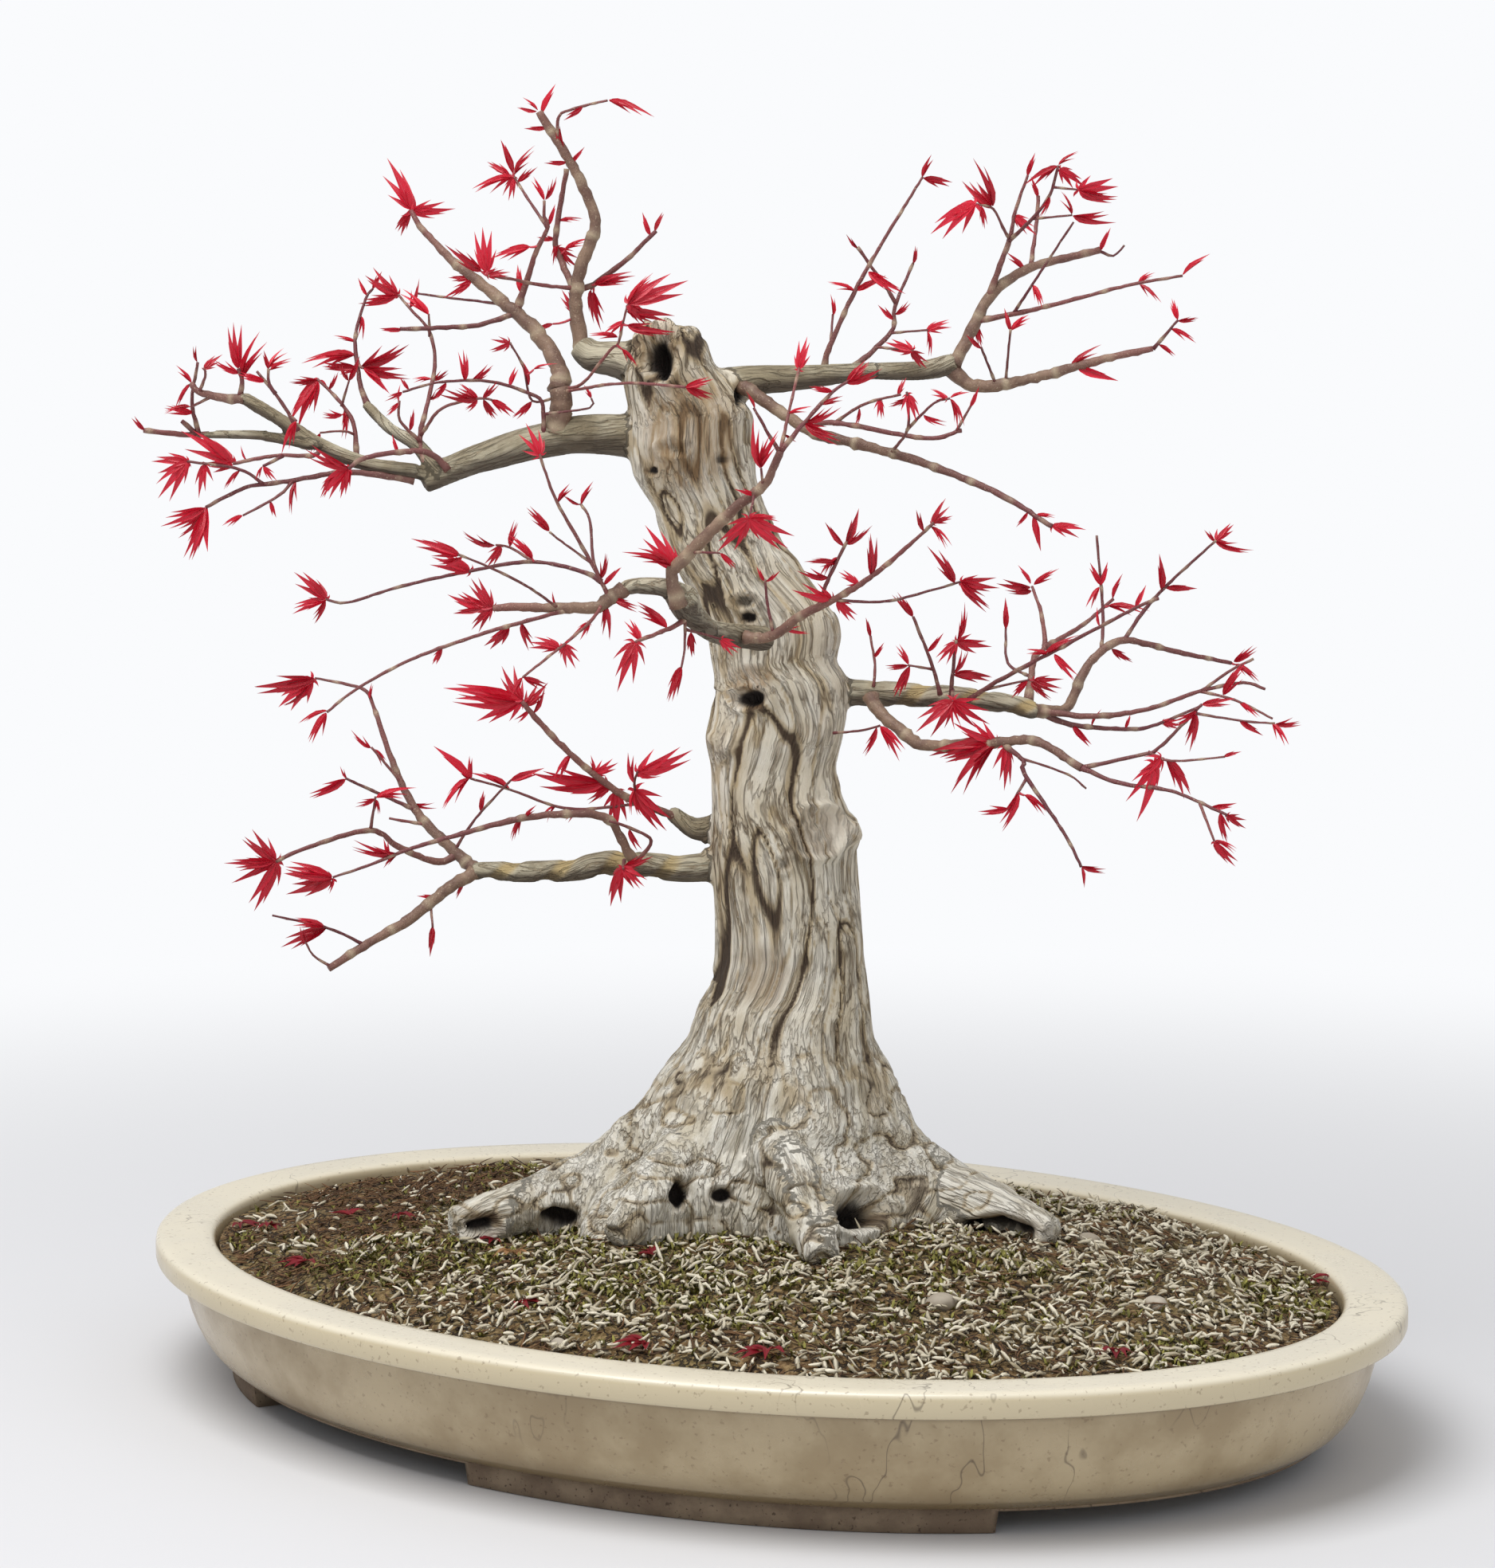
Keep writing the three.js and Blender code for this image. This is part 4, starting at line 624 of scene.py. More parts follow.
    "upper_right_inner_riser": {
        "twigs": [
            (2.8, 1.4, -13, -20, 1062, 468, 1095, 441, 1121, 412, 1123, 385, 1146, 330),
            (1.8, 1.6, -18, -15, 1122, 380, 1109, 357, 1076, 310),
            (1.2, 1, -16, -12, 1116, 419, 1165, 414), (1.2, 1, -15, -10, 1100, 436, 1146, 440),
        ],
        "open": [
            (1164, 415, 1192, 402, 12), (1146, 442, 1108, 432, 16), (1144, 442, 1162, 466, 22),
        ],
        "folded": [
            (1163, 416, 1172, 446, 12), (1124, 395, 1146, 384, 6),
        ],
        "buds": [
            (1146, 332, 1150, 306, 6), (1121, 402, 1104, 382, 6), (1078, 312, 1062, 296, 5),
        ],
    },
    "right_arching_shoot": {
        "twigs": [
            (5, 2, 0, 39, 932, 484, 955, 500, 1018, 541, 1080, 558, 1155, 580, 1250, 618, 1320, 661),
            (2.4, 2, 17, 26, 1012, 540, 1050, 531, 1160, 550, 1207, 540),
            (1.4, 1.1, 26, 28, 1200, 541, 1218, 510), (1.6, 1.2, 18, 29, 1045, 531, 1085, 507, 1130, 495),
            (1.5, 1.2, 28, 36, 1118, 569, 1139, 538, 1138, 492),
            (1.3, 1.1, 33, 38, 1139, 540, 1172, 506, 1192, 500),
        ],
        "open": [
            (1320, 660, 1362, 664, 15), (1104, 502, 1105, 528, 15), (1140, 495, 1152, 530, 28),
            (1188, 500, 1166, 484, 16),
        ],
        "folded": [
            (1298, 650, 1325, 642, 8), (1078, 512, 1078, 536, 8), (1126, 496, 1136, 474, 9),
            (1138, 500, 1118, 512, 10), (1192, 502, 1216, 536, 10), (1160, 522, 1184, 540, 6),
        ],
        "buds": [
            (1296, 648, 1304, 690, 6), (1192, 500, 1216, 488, 6), (1290, 642, 1276, 662, 5),
            (1218, 512, 1228, 488, 5),
        ],
    },
    "left_descending_shoot": {
        "twigs": [
            (4.6, 3, 10, 28, 596, 1096, 565, 1113, 515, 1153, 490, 1168, 440, 1197, 412, 1216),
            (1.5, 1, 24, 32, 457, 1184, 412, 1165, 342, 1149),
            (1.3, 1, 28, 31, 412, 1208, 393, 1199, 383, 1182), (1.1, 1, 17, 18, 541, 1134, 543, 1164),
        ],
        "folded": [
            (410, 1164, 370, 1148, 8), (410, 1166, 358, 1184, 9),
        ],
        "buds": [
            (542, 1162, 540, 1199, 9), (548, 1126, 524, 1124, 5), (580, 1104, 574, 1128, 5),
            (384, 1184, 376, 1162, 6),
        ],
    },
    "left_ascending_shoot": {
        "twigs": [
            (4.6, 1.1, 8, -14, 596, 1092, 575, 1073, 537, 1036, 512, 1000, 492, 955, 468, 885, 460, 868,
             440, 860, 395, 851),
            (3, 1.8, 6, 26, 568, 1078, 550, 1082, 500, 1063, 465, 1042, 390, 1062, 346, 1081),
            (1.4, 1.1, 18, 19, 466, 1040, 471, 1000), (2, 1.3, -1, 6, 524, 1018, 462, 990, 434, 977),
            (1.5, 1.3, 0, 4, 536, 1036, 488, 1027), (1.4, 1.1, -4, 0, 503, 984, 466, 938),
            (1.5, 1.1, 5, 12, 568, 1070, 597, 1027, 641, 979),
        ],
        "open": [
            (346, 1080, 303, 1046, 14), (346, 1084, 321, 1150, 14), (395, 851, 346, 888, 14),
        ],
        "folded": [
            (471, 1002, 521, 984, 12), (470, 1002, 450, 1014, 8), (472, 1003, 480, 1024, 10),
            (346, 1082, 290, 1086, 7), (345, 1083, 296, 1102, 7), (396, 852, 320, 868, 9),
            (396, 853, 358, 900, 10), (516, 1008, 545, 1018, 6), (522, 1016, 542, 1042, 10),
            (434, 978, 392, 1003, 12), (467, 940, 443, 928, 8), (468, 940, 489, 960, 12),
        ],
        "buds": [
            (466, 880, 466, 856, 5), (436, 978, 426, 962, 5), (640, 980, 684, 966, 5),
            (604, 1020, 606, 990, 7),
        ],
    },
    "left_inner_shoot": {
        "twigs": [
            (3.8, 1.1, 10, 38, 797, 1084, 775, 1045, 765, 1030, 735, 1021, 660, 1026, 595, 1042, 525,
             1062, 502, 1070, 460, 1087, 418, 1101),
            (1.8, 1.4, 8, 18, 828, 1078, 817, 1055, 785, 1037, 765, 1031),
        ],
        "open": [
            (412, 1102, 364, 1126, 14),
        ],
        "folded": [
            (500, 1069, 445, 1079, 10), (418, 1101, 352, 1084, 9), (416, 1101, 362, 1102, 9),
            (655, 1027, 636, 1055, 8), (790, 1040, 798, 1072, 12),
        ],
        "buds": [
            (502, 1070, 479, 1088, 6), (488, 1073, 482, 1052, 6), (410, 1104, 414, 1122, 6),
            (658, 1026, 672, 1012, 6),
        ],
    },
    "left_stub_shoot": {
        "twigs": [
            (3.4, 2.4, -8, 3, 856, 1028, 815, 1012, 772, 992, 720, 950, 680, 910, 655, 880),
            (1.6, 1.1, -6, 4, 806, 1010, 715, 1015, 640, 991, 590, 977),
            (1.4, 1.1, -6, 4, 800, 1008, 796, 985, 800, 968),
        ],
        "open": [
            (655, 882, 622, 838, 20), (652, 882, 600, 902, 22), (660, 885, 690, 858, 18),
            (772, 994, 776, 1046, 40), (762, 985, 700, 992, 34), (745, 972, 778, 958, 24),
            (800, 970, 864, 955, 16), (800, 990, 836, 1052, 28),
        ],
        "folded": [
            (655, 880, 563, 860, 14), (652, 882, 577, 886, 14), (664, 890, 650, 910, 12),
            (716, 948, 690, 977, 8), (797, 990, 787, 1020, 14), (765, 988, 738, 1008, 14),
            (722, 1014, 712, 1036, 10), (590, 977, 547, 1006, 8), (592, 978, 566, 958, 8),
            (760, 984, 660, 986, 12), (700, 1012, 674, 1026, 8),
        ],
        "buds": [
            (590, 976, 546, 934, 8), (592, 977, 588, 948, 6), (640, 990, 592, 962, 8),
            (745, 972, 742, 948, 7), (797, 984, 787, 942, 7), (668, 896, 686, 868, 6),
        ],
    },
    "left_limb_front_pair": {
        "twigs": [
            (1.6, 1.2, 9, 17, 783, 1080, 782, 1090),
        ],
        "open": [
            (781, 1089, 760, 1142, 22), (783, 1089, 810, 1112, 24),
        ],
        "folded": [
            (784, 1088, 818, 1078, 10),
        ],
    },
}

def place(across, down, near):
    """The points in space of places on the sheet, near being metres toward the eye."""
    across, down, near = np.broadcast_arrays(across, down, near)
    ray = SHEET_DISTANCE * SIGHT + (across - SHEET_WIDTH / 2)[..., None] * RIGHT
    ray = ray + (SHEET_HEIGHT / 2 - down)[..., None] * SHEET_UP
    return EYE + ray * ((PLANE_DISTANCE - near) / (ray @ AHEAD))[..., None]


def sheet_of(points):
    """Where points are seen on the sheet: across and down."""
    ray = points - EYE
    scale = SHEET_DISTANCE / (ray @ SIGHT)
    return SHEET_WIDTH / 2 + scale * (ray @ RIGHT), SHEET_HEIGHT / 2 - scale * (ray @ SHEET_UP)


def unit(vectors):
    """Vectors made one long."""
    return vectors / np.maximum(np.linalg.norm(vectors, axis=-1, keepdims=True), 1e-12)


def rise(values, low, high):
    """A smooth step from 0 at low to 1 at high."""
    share = np.clip((values - low) / (high - low), 0, 1)
    return share * share * (3 - 2 * share)


def corner_values(cells, seed):
    """A fixed random value from 0 to 1 for each whole-numbered cell."""
    mixed = cells[..., 0] * 374761393 + cells[..., 1] * 668265263 + cells[..., 2] * 1274126177
    mixed = (mixed + seed * 1103515245) & 0xFFFFFFFF
    mixed = ((mixed ^ (mixed >> 15)) * 1274126177) & 0xFFFFFFFF
    mixed = ((mixed ^ (mixed >> 13)) * 1103515245) & 0xFFFFFFFF
    return (mixed ^ (mixed >> 16)) / 0xFFFFFFFF


def noise(points, seed):
    """Smooth noise from 0 to 1: the corners of the unit cell around a point, blended by smooth steps."""
    cells = np.floor(points).astype(np.int64)
    share = points - cells
    share = share * share * (3 - 2 * share)
    total = np.zeros(points.shape[:-1])
    for corner in itertools.product((0, 1), repeat=3):
        weight = np.prod(np.where(corner, share, 1 - share), axis=-1)
        total += weight * corner_values(cells + corner, seed)
    return total


def layered(points, seed, layers):
    """Noise summed over layers, each of half the size and half the strength of the one before."""
    parts = [noise(points * 2**layer, seed + layer) * 0.5**layer for layer in range(layers)]
    return sum(parts) / sum(0.5**layer for layer in range(layers))


def creases(points, seed, low, high):
    """Lines, 1 along the middle values of a noise and 0 away from them."""
    return rise(1 - np.abs(2 * noise(points, seed) - 1), low, high)


def smooth_path(points, spacing):
    """A Catmull-Rom curve through points, sampled about every spacing metres, with its row shares."""
    points = np.asarray(points)
    if len(points) < 3:
        count = max(2, int(np.linalg.norm(points[-1] - points[0]) / spacing) + 1)
        shares = np.linspace(0, 1, count)
        return points[0] + (points[-1] - points[0]) * shares[:, None], shares * (len(points) - 1)
    padded = np.vstack([2 * points[0] - points[1], points, 2 * points[-1] - points[-2]])
    pieces, shares = [], []
    for index in range(len(points) - 1):
        before, start, end, after = padded[index : index + 4]
        count = max(1, int(np.ceil(np.linalg.norm(end - start) / spacing)))
        t = np.arange(count)[:, None] / count
        curve = 2 * start + (end - before) * t + (2 * before - 5 * start + 4 * end - after) * t**2
        pieces.append((curve + (3 * start - before - 3 * end + after) * t**3) / 2)
        shares.append(index + t[:, 0])
    pieces.append(points[-1:])
    shares.append([len(points) - 1])
    return np.vstack(pieces), np.concatenate(shares)


def path_frames(path):
    """The direction at each point of a path and two directions square to it, carried along unturned."""
    along = unit(np.gradient(path, axis=0))
    start = UP if abs(along[0, 2]) < 0.9 else RIGHT
    side = np.cross(along[0], start)
    sides = []
    for direction in along:
        side = side - direction * (side @ direction)
        side = side / np.linalg.norm(side)
        sides.append(side)
    sides = np.array(sides)
    return along, sides, np.cross(along, sides)


def ring_faces(rings, sides):
    """The quads between rings of points that close on themselves, facing out along a path."""
    ring, side = np.meshgrid(np.arange(rings - 1), np.arange(sides), indexing="ij")
    following = (side + 1) % sides
    corners = [ring * sides + side, ring * sides + following]
    corners += [(ring + 1) * sides + following, (ring + 1) * sides + side]
    return np.stack(corners, axis=-1).reshape(-1, 4)


def capped(points, faces):
    """Rings of points, and blocks of faces: their quads, then one face that closes each end."""
    rings, sides = points.shape[:2]
    first = np.arange(sides)[::-1]
    last = (rings - 1) * sides + np.arange(sides)
    return points.reshape(-1, 3), [faces, first[None], last[None]]


def tube(path, radii, sides):
    """Circles of the given radii carried along a path: centre + radius (side cos turn + across sin turn)."""
    along, side, across = path_frames(path)
    turn = 2 * np.pi * np.arange(sides) / sides
    circle = side[:, None] * np.cos(turn)[:, None] + across[:, None] * np.sin(turn)[:, None]
    points = path[:, None] + circle * np.asarray(radii)[:, None, None]
    return capped(points, ring_faces(len(path), sides))


class Bag:
    """Gathers the points, faces, attributes and material places of one mesh."""

    def __init__(self):
        self.points, self.faces, self.slots, self.values, self.count = [], [], [], {}, 0

    def put(self, points, blocks, slot=0, **values):
        """Adds a part: its points, its faces in blocks that each have one number of corners, and its
        values, which are one number each or one for each of its points."""
        self.points.append(points)
        for block in blocks:
            self.faces += (block + self.count).tolist()
            self.slots += [slot] * len(block)
        for name, value in values.items():
            held = np.broadcast_to(np.asarray(value, float), (len(points),))
            self.values.setdefault(name, []).append((self.count, held))
        self.count += len(points)

    def make(self, name, materials):
        """The mesh object, at the origin, with smooth faces."""
        mesh = bpy.data.meshes.new(name)
        mesh.from_pydata(np.vstack(self.points), [], self.faces)
        for value_name, parts in self.values.items():
            whole = np.zeros(self.count)
            for start, held in parts:
                whole[start : start + len(held)] = held
            store(mesh, value_name, whole)
        mesh.polygons.foreach_set("use_smooth", [True] * len(mesh.polygons))
        mesh.polygons.foreach_set("material_index", self.slots)
        for material in materials:
            mesh.materials.append(material)
        mesh.update()
        return link(name, mesh)


def store(mesh, name, values):
    """Keeps a number or a vector for each point of a mesh as an attribute."""
    vector = np.ndim(values) == 2
    held = mesh.attributes.new(name, "FLOAT_VECTOR" if vector else "FLOAT", "POINT")
    held.data.foreach_set("vector" if vector else "value", np.asarray(values, np.float32).ravel())


def link(name, data):
    """A new object that holds a mesh, a lamp or a camera."""
    piece = bpy.data.objects.new(name, data)
    bpy.context.scene.collection.objects.link(piece)
    return piece


def shaped(piece):
    """A piece with its modifiers made part of its mesh."""
    graph = bpy.context.evaluated_depsgraph_get()
    mesh = bpy.data.meshes.new_from_object(piece.evaluated_get(graph))
    piece.modifiers.clear()
    old = piece.data
    piece.data = mesh
    bpy.data.meshes.remove(old)
    return piece


def cut(piece, cutters):
    """Cuts the solids of other objects out of a piece and removes those objects."""
    for cutter in cutters:
        modifier = piece.modifiers.new("cut", "BOOLEAN")
        modifier.operation = "DIFFERENCE"
        modifier.object = cutter
    bpy.context.view_layer.update()
    shaped(piece)
    for cutter in cutters:
        bpy.data.objects.remove(cutter)
    if not piece.data.polygons:
        raise RuntimeError(f"{piece.name} has nothing left after its cuts")
    return piece


def finish_piece(piece, slot, *nodes):
    """Lets a piece ride on the body and stand for CAD nodes; slot is not used."""
    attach(piece, "root")
    if nodes:
        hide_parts(*nodes)
    return piece


# The pot.
POT_HALF_LENGTH = 250 * MM
POT_HALF_WIDTH = 184 * MM
POT_SIDES = 224
# The section of the bowl, from under its floor round the outside to the floor again: inset, height.
BOWL_SECTION = [
    (30, 8), (27.6, 9), (24.8, 10.8), (22, 13), (19.3, 16), (17, 19.5), (14.8, 24), (12.9, 29), (11.5, 34),
    (10.5, 39), (9.9, 43), (9.5, 45.2), (8.6, 46.3), (6, 46.5), (3, 46.5), (1.3, 46.8), (0.4, 47.4),
    (0, 48.4),
    (0, 53), (0.3, 54.6), (1.2, 55.6), (2.6, 56), (6, 56), (12, 55.8), (18, 55.7), (21, 55.3), (22.6, 54.2),
    (23.2, 52), (23.8, 48), (25, 44), (26.6, 36), (29, 26), (33, 19), (41, 15),
]
FOOT_SECTION = [(29, 0.4), (28, 9), (42, 9), (43, 0.4), (42, 0), (30, 0)]
# The gaps between the feet, cut straight through both sides: direction in degrees, width.
FOOT_GAPS = [(56.2, 128 * MM), (170.9, 164 * MM)]
DRAIN_RADIUS = 11 * MM
DRAIN_OFFSET = 95 * MM


def oval_rings(section, sides):
    """Ovals set in from the pot's outline by each inset of a section, at each height, in millimetres."""
    section = np.array(section) * MM
    turn = 2 * np.pi * np.arange(sides) / sides
    x = (POT_HALF_LENGTH - section[:, :1]) * np.cos(turn)
    y = (POT_HALF_WIDTH - section[:, :1]) * np.sin(turn)
    return np.stack([x, y, np.broadcast_to(section[:, 1:], x.shape)], axis=-1)


def box_piece(size, turn):
    """A box about the origin, turned about the upright."""
    corners = np.array(list(itertools.product((-0.5, 0.5), repeat=3))) * size
    across = np.array([math.cos(turn), math.sin(turn), 0])
    along = np.array([-math.sin(turn), math.cos(turn), 0])
    points = corners[:, :1] * across + corners[:, 1:2] * along + corners[:, 2:] * UP
    faces = np.array([(0, 1, 3, 2), (4, 6, 7, 5), (0, 4, 5, 1), (2, 3, 7, 6), (0, 2, 6, 4), (1, 5, 7, 3)])
    bag = Bag()
    bag.put(points, [faces])
    return bag.make("gap", [])


def make_bowl(name, material):
    """The glazed bowl: the bowl section carried round the oval outline, with two drain holes."""
    rings = oval_rings(BOWL_SECTION, POT_SIDES)
    bag = Bag()
    bag.put(*capped(rings, ring_faces(len(rings), POT_SIDES)))
    drains = []
    for side in (-1, 1):
        middle = np.array([side * DRAIN_OFFSET, 0, 0])
        hole = Bag()
        hole.put(*tube(np.array([middle + UP * 2 * MM, middle + UP * 24 * MM]), [DRAIN_RADIUS] * 2, 40))
        drains.append(hole.make("drain", []))
    return cut(bag.make(name, [material]), drains)


def make_foot(name, material):
    """The unglazed foot: its section carried round the oval and cut by two crossing gaps."""
    rings = oval_rings(FOOT_SECTION + FOOT_SECTION[:1], POT_SIDES)
    faces = ring_faces(len(rings), POT_SIDES) % (len(FOOT_SECTION) * POT_SIDES)
    bag = Bag()
    bag.put(rings[:-1].reshape(-1, 3), [faces])
    gaps = [box_piece(np.array([1, width, 16 * MM]), math.radians(turn)) for turn, width in FOOT_GAPS]
    return cut(bag.make(name, [material]), gaps)


# The soil.
SOIL_SECTION = [(41.3, 15.3), (29.3, 26.3), (25.6, 44), (24.6, 51)]
SOIL_TOP_INSET = 24.6
SOIL_RINGS = 150
SOIL_SIDES = 420
SOIL_HEIGHTS = [(0, 51), (22, 56.6), (75, 62.6), (125, 66.6), (160, 67)]


def soil_height(x, y):
    """The height of the soil at a place: its low mound, with lumps of three sizes."""
    share = np.sqrt((x / POT_HALF_LENGTH) ** 2 + (y / POT_HALF_WIDTH) ** 2)
    inset = (1 - share) * POT_HALF_WIDTH / MM - SOIL_TOP_INSET
    steps, heights = np.array(SOIL_HEIGHTS).T
    mound = np.interp(inset, steps, heights) * MM
    flat = np.stack([x, y, np.zeros_like(x)], axis=-1)
    inner = rise(inset, 0, 12)
    lumps = (layered(flat / 0.034, 11, 2) - 0.5) * 6.5 * MM * inner
    clods = (layered(flat / 0.0085, 12, 3) - 0.5) * 4.2 * MM * rise(inset, 0, 3)
    return mound + lumps + clods


def make_soil(name, material):
    """The planted soil: a height over each place of an oval, closed below by the inside of the pot."""
    below = oval_rings(SOIL_SECTION, SOIL_SIDES)
    share = np.linspace(1, 0, SOIL_RINGS, endpoint=False)[1:, None]
    turn = 2 * np.pi * np.arange(SOIL_SIDES) / SOIL_SIDES
    x = share * (POT_HALF_LENGTH - SOIL_TOP_INSET * MM) * np.cos(turn)
    y = share * (POT_HALF_WIDTH - SOIL_TOP_INSET * MM) * np.sin(turn)
    top = np.stack([x, y, soil_height(x, y)], axis=-1)
    rings = np.concatenate([below, top])
    bag = Bag()
    bag.put(*capped(rings, ring_faces(len(rings), SOIL_SIDES)))
    return bag.make(name, [material])


# The wood.
GRAIN_STRETCH = 8
SCAR_SPACING = 0.021
WOOD_SIDES = 96
ROUND_SIDES = 20
VOXEL = 1.35 * MM


def trunk_rings(sides):
    """Level sections of the trunk: an ellipse as wide as the outline, ridged where it flares to roots."""
    outline = np.array(TRUNK_OUTLINE, float)
    down = np.arange(outline[-1, 0], outline[0, 0], -6)
    left = np.interp(down, outline[:, 0], outline[:, 1])
    right = np.interp(down, outline[:, 0], outline[:, 2])
    start, end = place(left, down, 0), place(right, down, 0)
    middle = (start + end) / 2
    half = np.linalg.norm(end - start, axis=-1)[:, None] / 2
    flare = np.clip((down - FLARE_TOP) / (FLARE_BOTTOM - FLARE_TOP), 0, 1)[:, None]
    turn = 2 * np.pi * np.arange(sides) / sides
    away = np.abs((np.degrees(turn)[:, None] - np.array(RIDGE_TURNS) + 540) % 360 - 180).min(axis=1)
    reach = half * (1 - RIDGE_DEPTH * flare * (1 - np.exp(-((away / RIDGE_SPREAD) ** 2))))
    flare_depth = np.where(np.sin(turn) < 0, FLARE_FRONT_DEPTH, FLARE_REAR_DEPTH)
    depth = ROUND_DEPTH + (flare_depth - ROUND_DEPTH) * flare
    points = middle[:, None] + (reach * np.cos(turn))[..., None] * RIGHT
    points = points + (reach * depth * np.sin(turn))[..., None] * AHEAD
    foot = points[0].copy()
    foot[:, 2] = TRUNK_BOTTOM
    return np.concatenate([foot[None], points]), middle


def read_stem(row, near_step):
    """A woody row as columns: across, down, near in metres and radius in metres."""
    thick, thin, near, far, *path = row
    across, down = np.array(path[0::2], float), np.array(path[1::2], float)
    length = np.concatenate([[0], np.cumsum(np.hypot(np.diff(across), np.diff(down)))])
    share = length / length[-1]
    radius = (thick + (thin - thick) * share) / 2 * MM
    return np.stack([across, down, (near + (far - near) * share) * near_step, radius], axis=-1)


def stem_path(stem, spacing):
    """The smoothed path of a stem in space and its radii."""
    points, shares = smooth_path(place(stem[:, 0], stem[:, 1], stem[:, 2]), spacing)
    return points, np.interp(shares, np.arange(len(stem)), stem[:, 3])


def wood_paths():
    """The middle line and radii of the trunk, then of each root and limb."""
    rings, middle = trunk_rings(8)
    paths = [(middle, np.linalg.norm(rings[1:, 0] - rings[1:, 4], axis=-1) / 2)]
    paths += [stem_path(read_stem(row, MM), 4 * MM) for row in ROOTS]
    return paths + [stem_path(read_stem(row, LIMB_NEAR_STEP), 4 * MM) for row in LIMBS]


def fused_wood(name):
    """The trunk, roots and limbs as one smooth skin."""
    bag = Bag()
    rings, _ = trunk_rings(WOOD_SIDES)
    bag.put(*capped(rings, ring_faces(len(rings), WOOD_SIDES)))
    for path, radii in wood_paths()[1:]:
        bag.put(*tube(path, radii, ROUND_SIDES))
    piece = bag.make(name, [])
    remesh = piece.modifiers.new("fuse", "REMESH")
    remesh.mode = "VOXEL"
    remesh.voxel_size = VOXEL
    smooth = piece.modifiers.new("ease", "SMOOTH")
    smooth.factor = 0.5
    smooth.iterations = 7
    bpy.context.view_layer.update()
    return shaped(piece)


def mesh_arrays(mesh):
    """The points of a mesh and its normals at them."""
    points = np.zeros(len(mesh.vertices) * 3, np.float32)
    mesh.vertices.foreach_get("co", points)
    normals = np.zeros(len(mesh.vertices) * 3, np.float32)
    mesh.vertex_normals.foreach_get("vector", normals)
    return points.reshape(-1, 3).astype(float), normals.reshape(-1, 3).astype(float)


def nearest_stems(points, paths):
    """For each point the nearest stem, its length along that stem, its turn about it, and its place
    in the grain: its offset square to the stem, with the length along it drawn out GRAIN_STRETCH times."""
    best = np.full(len(points), np.inf)
    nearest = np.zeros(len(points), int)
    length, turn = np.zeros(len(points)), np.zeros(len(points))
    grain = np.zeros((len(points), 3))
    for number, (path, radii) in enumerate(paths):
        along, side, across = path_frames(path)
        lengths = np.concatenate([[0], np.cumsum(np.linalg.norm(np.diff(path, axis=0), axis=1))])
        gap = np.linalg.norm(points[:, None] - path[None], axis=-1)
        closest = np.argmin(gap, axis=1)
        away = (gap / radii)[np.arange(len(points)), closest]
        nearer = away < best
        best = np.where(nearer, away, best)
        nearest = np.where(nearer, number, nearest)
        offset = points - path[closest]
        extra = (offset * along[closest]).sum(axis=1)
        run = lengths[closest] + extra
        by_side, by_across = (offset * side[closest]).sum(axis=1), (offset * across[closest]).sum(axis=1)
        length = np.where(nearer, run, length)
        turn = np.where(nearer, np.arctan2(by_across, by_side), turn)
        place_in_grain = np.stack([by_side, by_across, run / GRAIN_STRETCH + 0.3 * number], axis=-1)
        grain = np.where(nearer[:, None], place_in_grain, grain)
    return nearest, length, turn, grain


def trunk_marks(points, normals):
    """How far each point is pushed out by the marks of the trunk, how much painted shade darkens their
    hollows, and how brown they are.
    """
    across, down = sheet_of(points)
    facing = rise(-(normals @ SIGHT), 0, 0.35) * (np.abs((points - EYE) @ AHEAD - PLANE_DISTANCE) < 0.12)
    push, dark, brown = np.zeros(len(points)), np.zeros(len(points)), np.zeros(len(points))
    for middle, height, half_width, half_height, depth, rim, hollow_shade, brownness in TRUNK_MARKS:
        ragged = (noise(points / 0.004, 31) - 0.5) * 0.45
        away = np.hypot((across - middle) / half_width, (down - height) / half_height) + ragged
        inside = (1 - rise(away, 0.35, 1.1)) * facing
        swirl = 0.35 * rim * np.sin(11 * away) * (1 - rise(away, 1.2, 2.2))
        push += (-depth * inside + (rim * np.exp(-(((away - 1.25) / 0.3) ** 2)) + swirl) * facing) * MM
        dark = np.maximum(dark, hollow_shade * (1 - rise(away, 0.5, 1.05)) * facing)
        brown = np.maximum(brown, brownness * (1 - rise(away, 0.8, 1.5)) * facing)
    return push, dark, brown


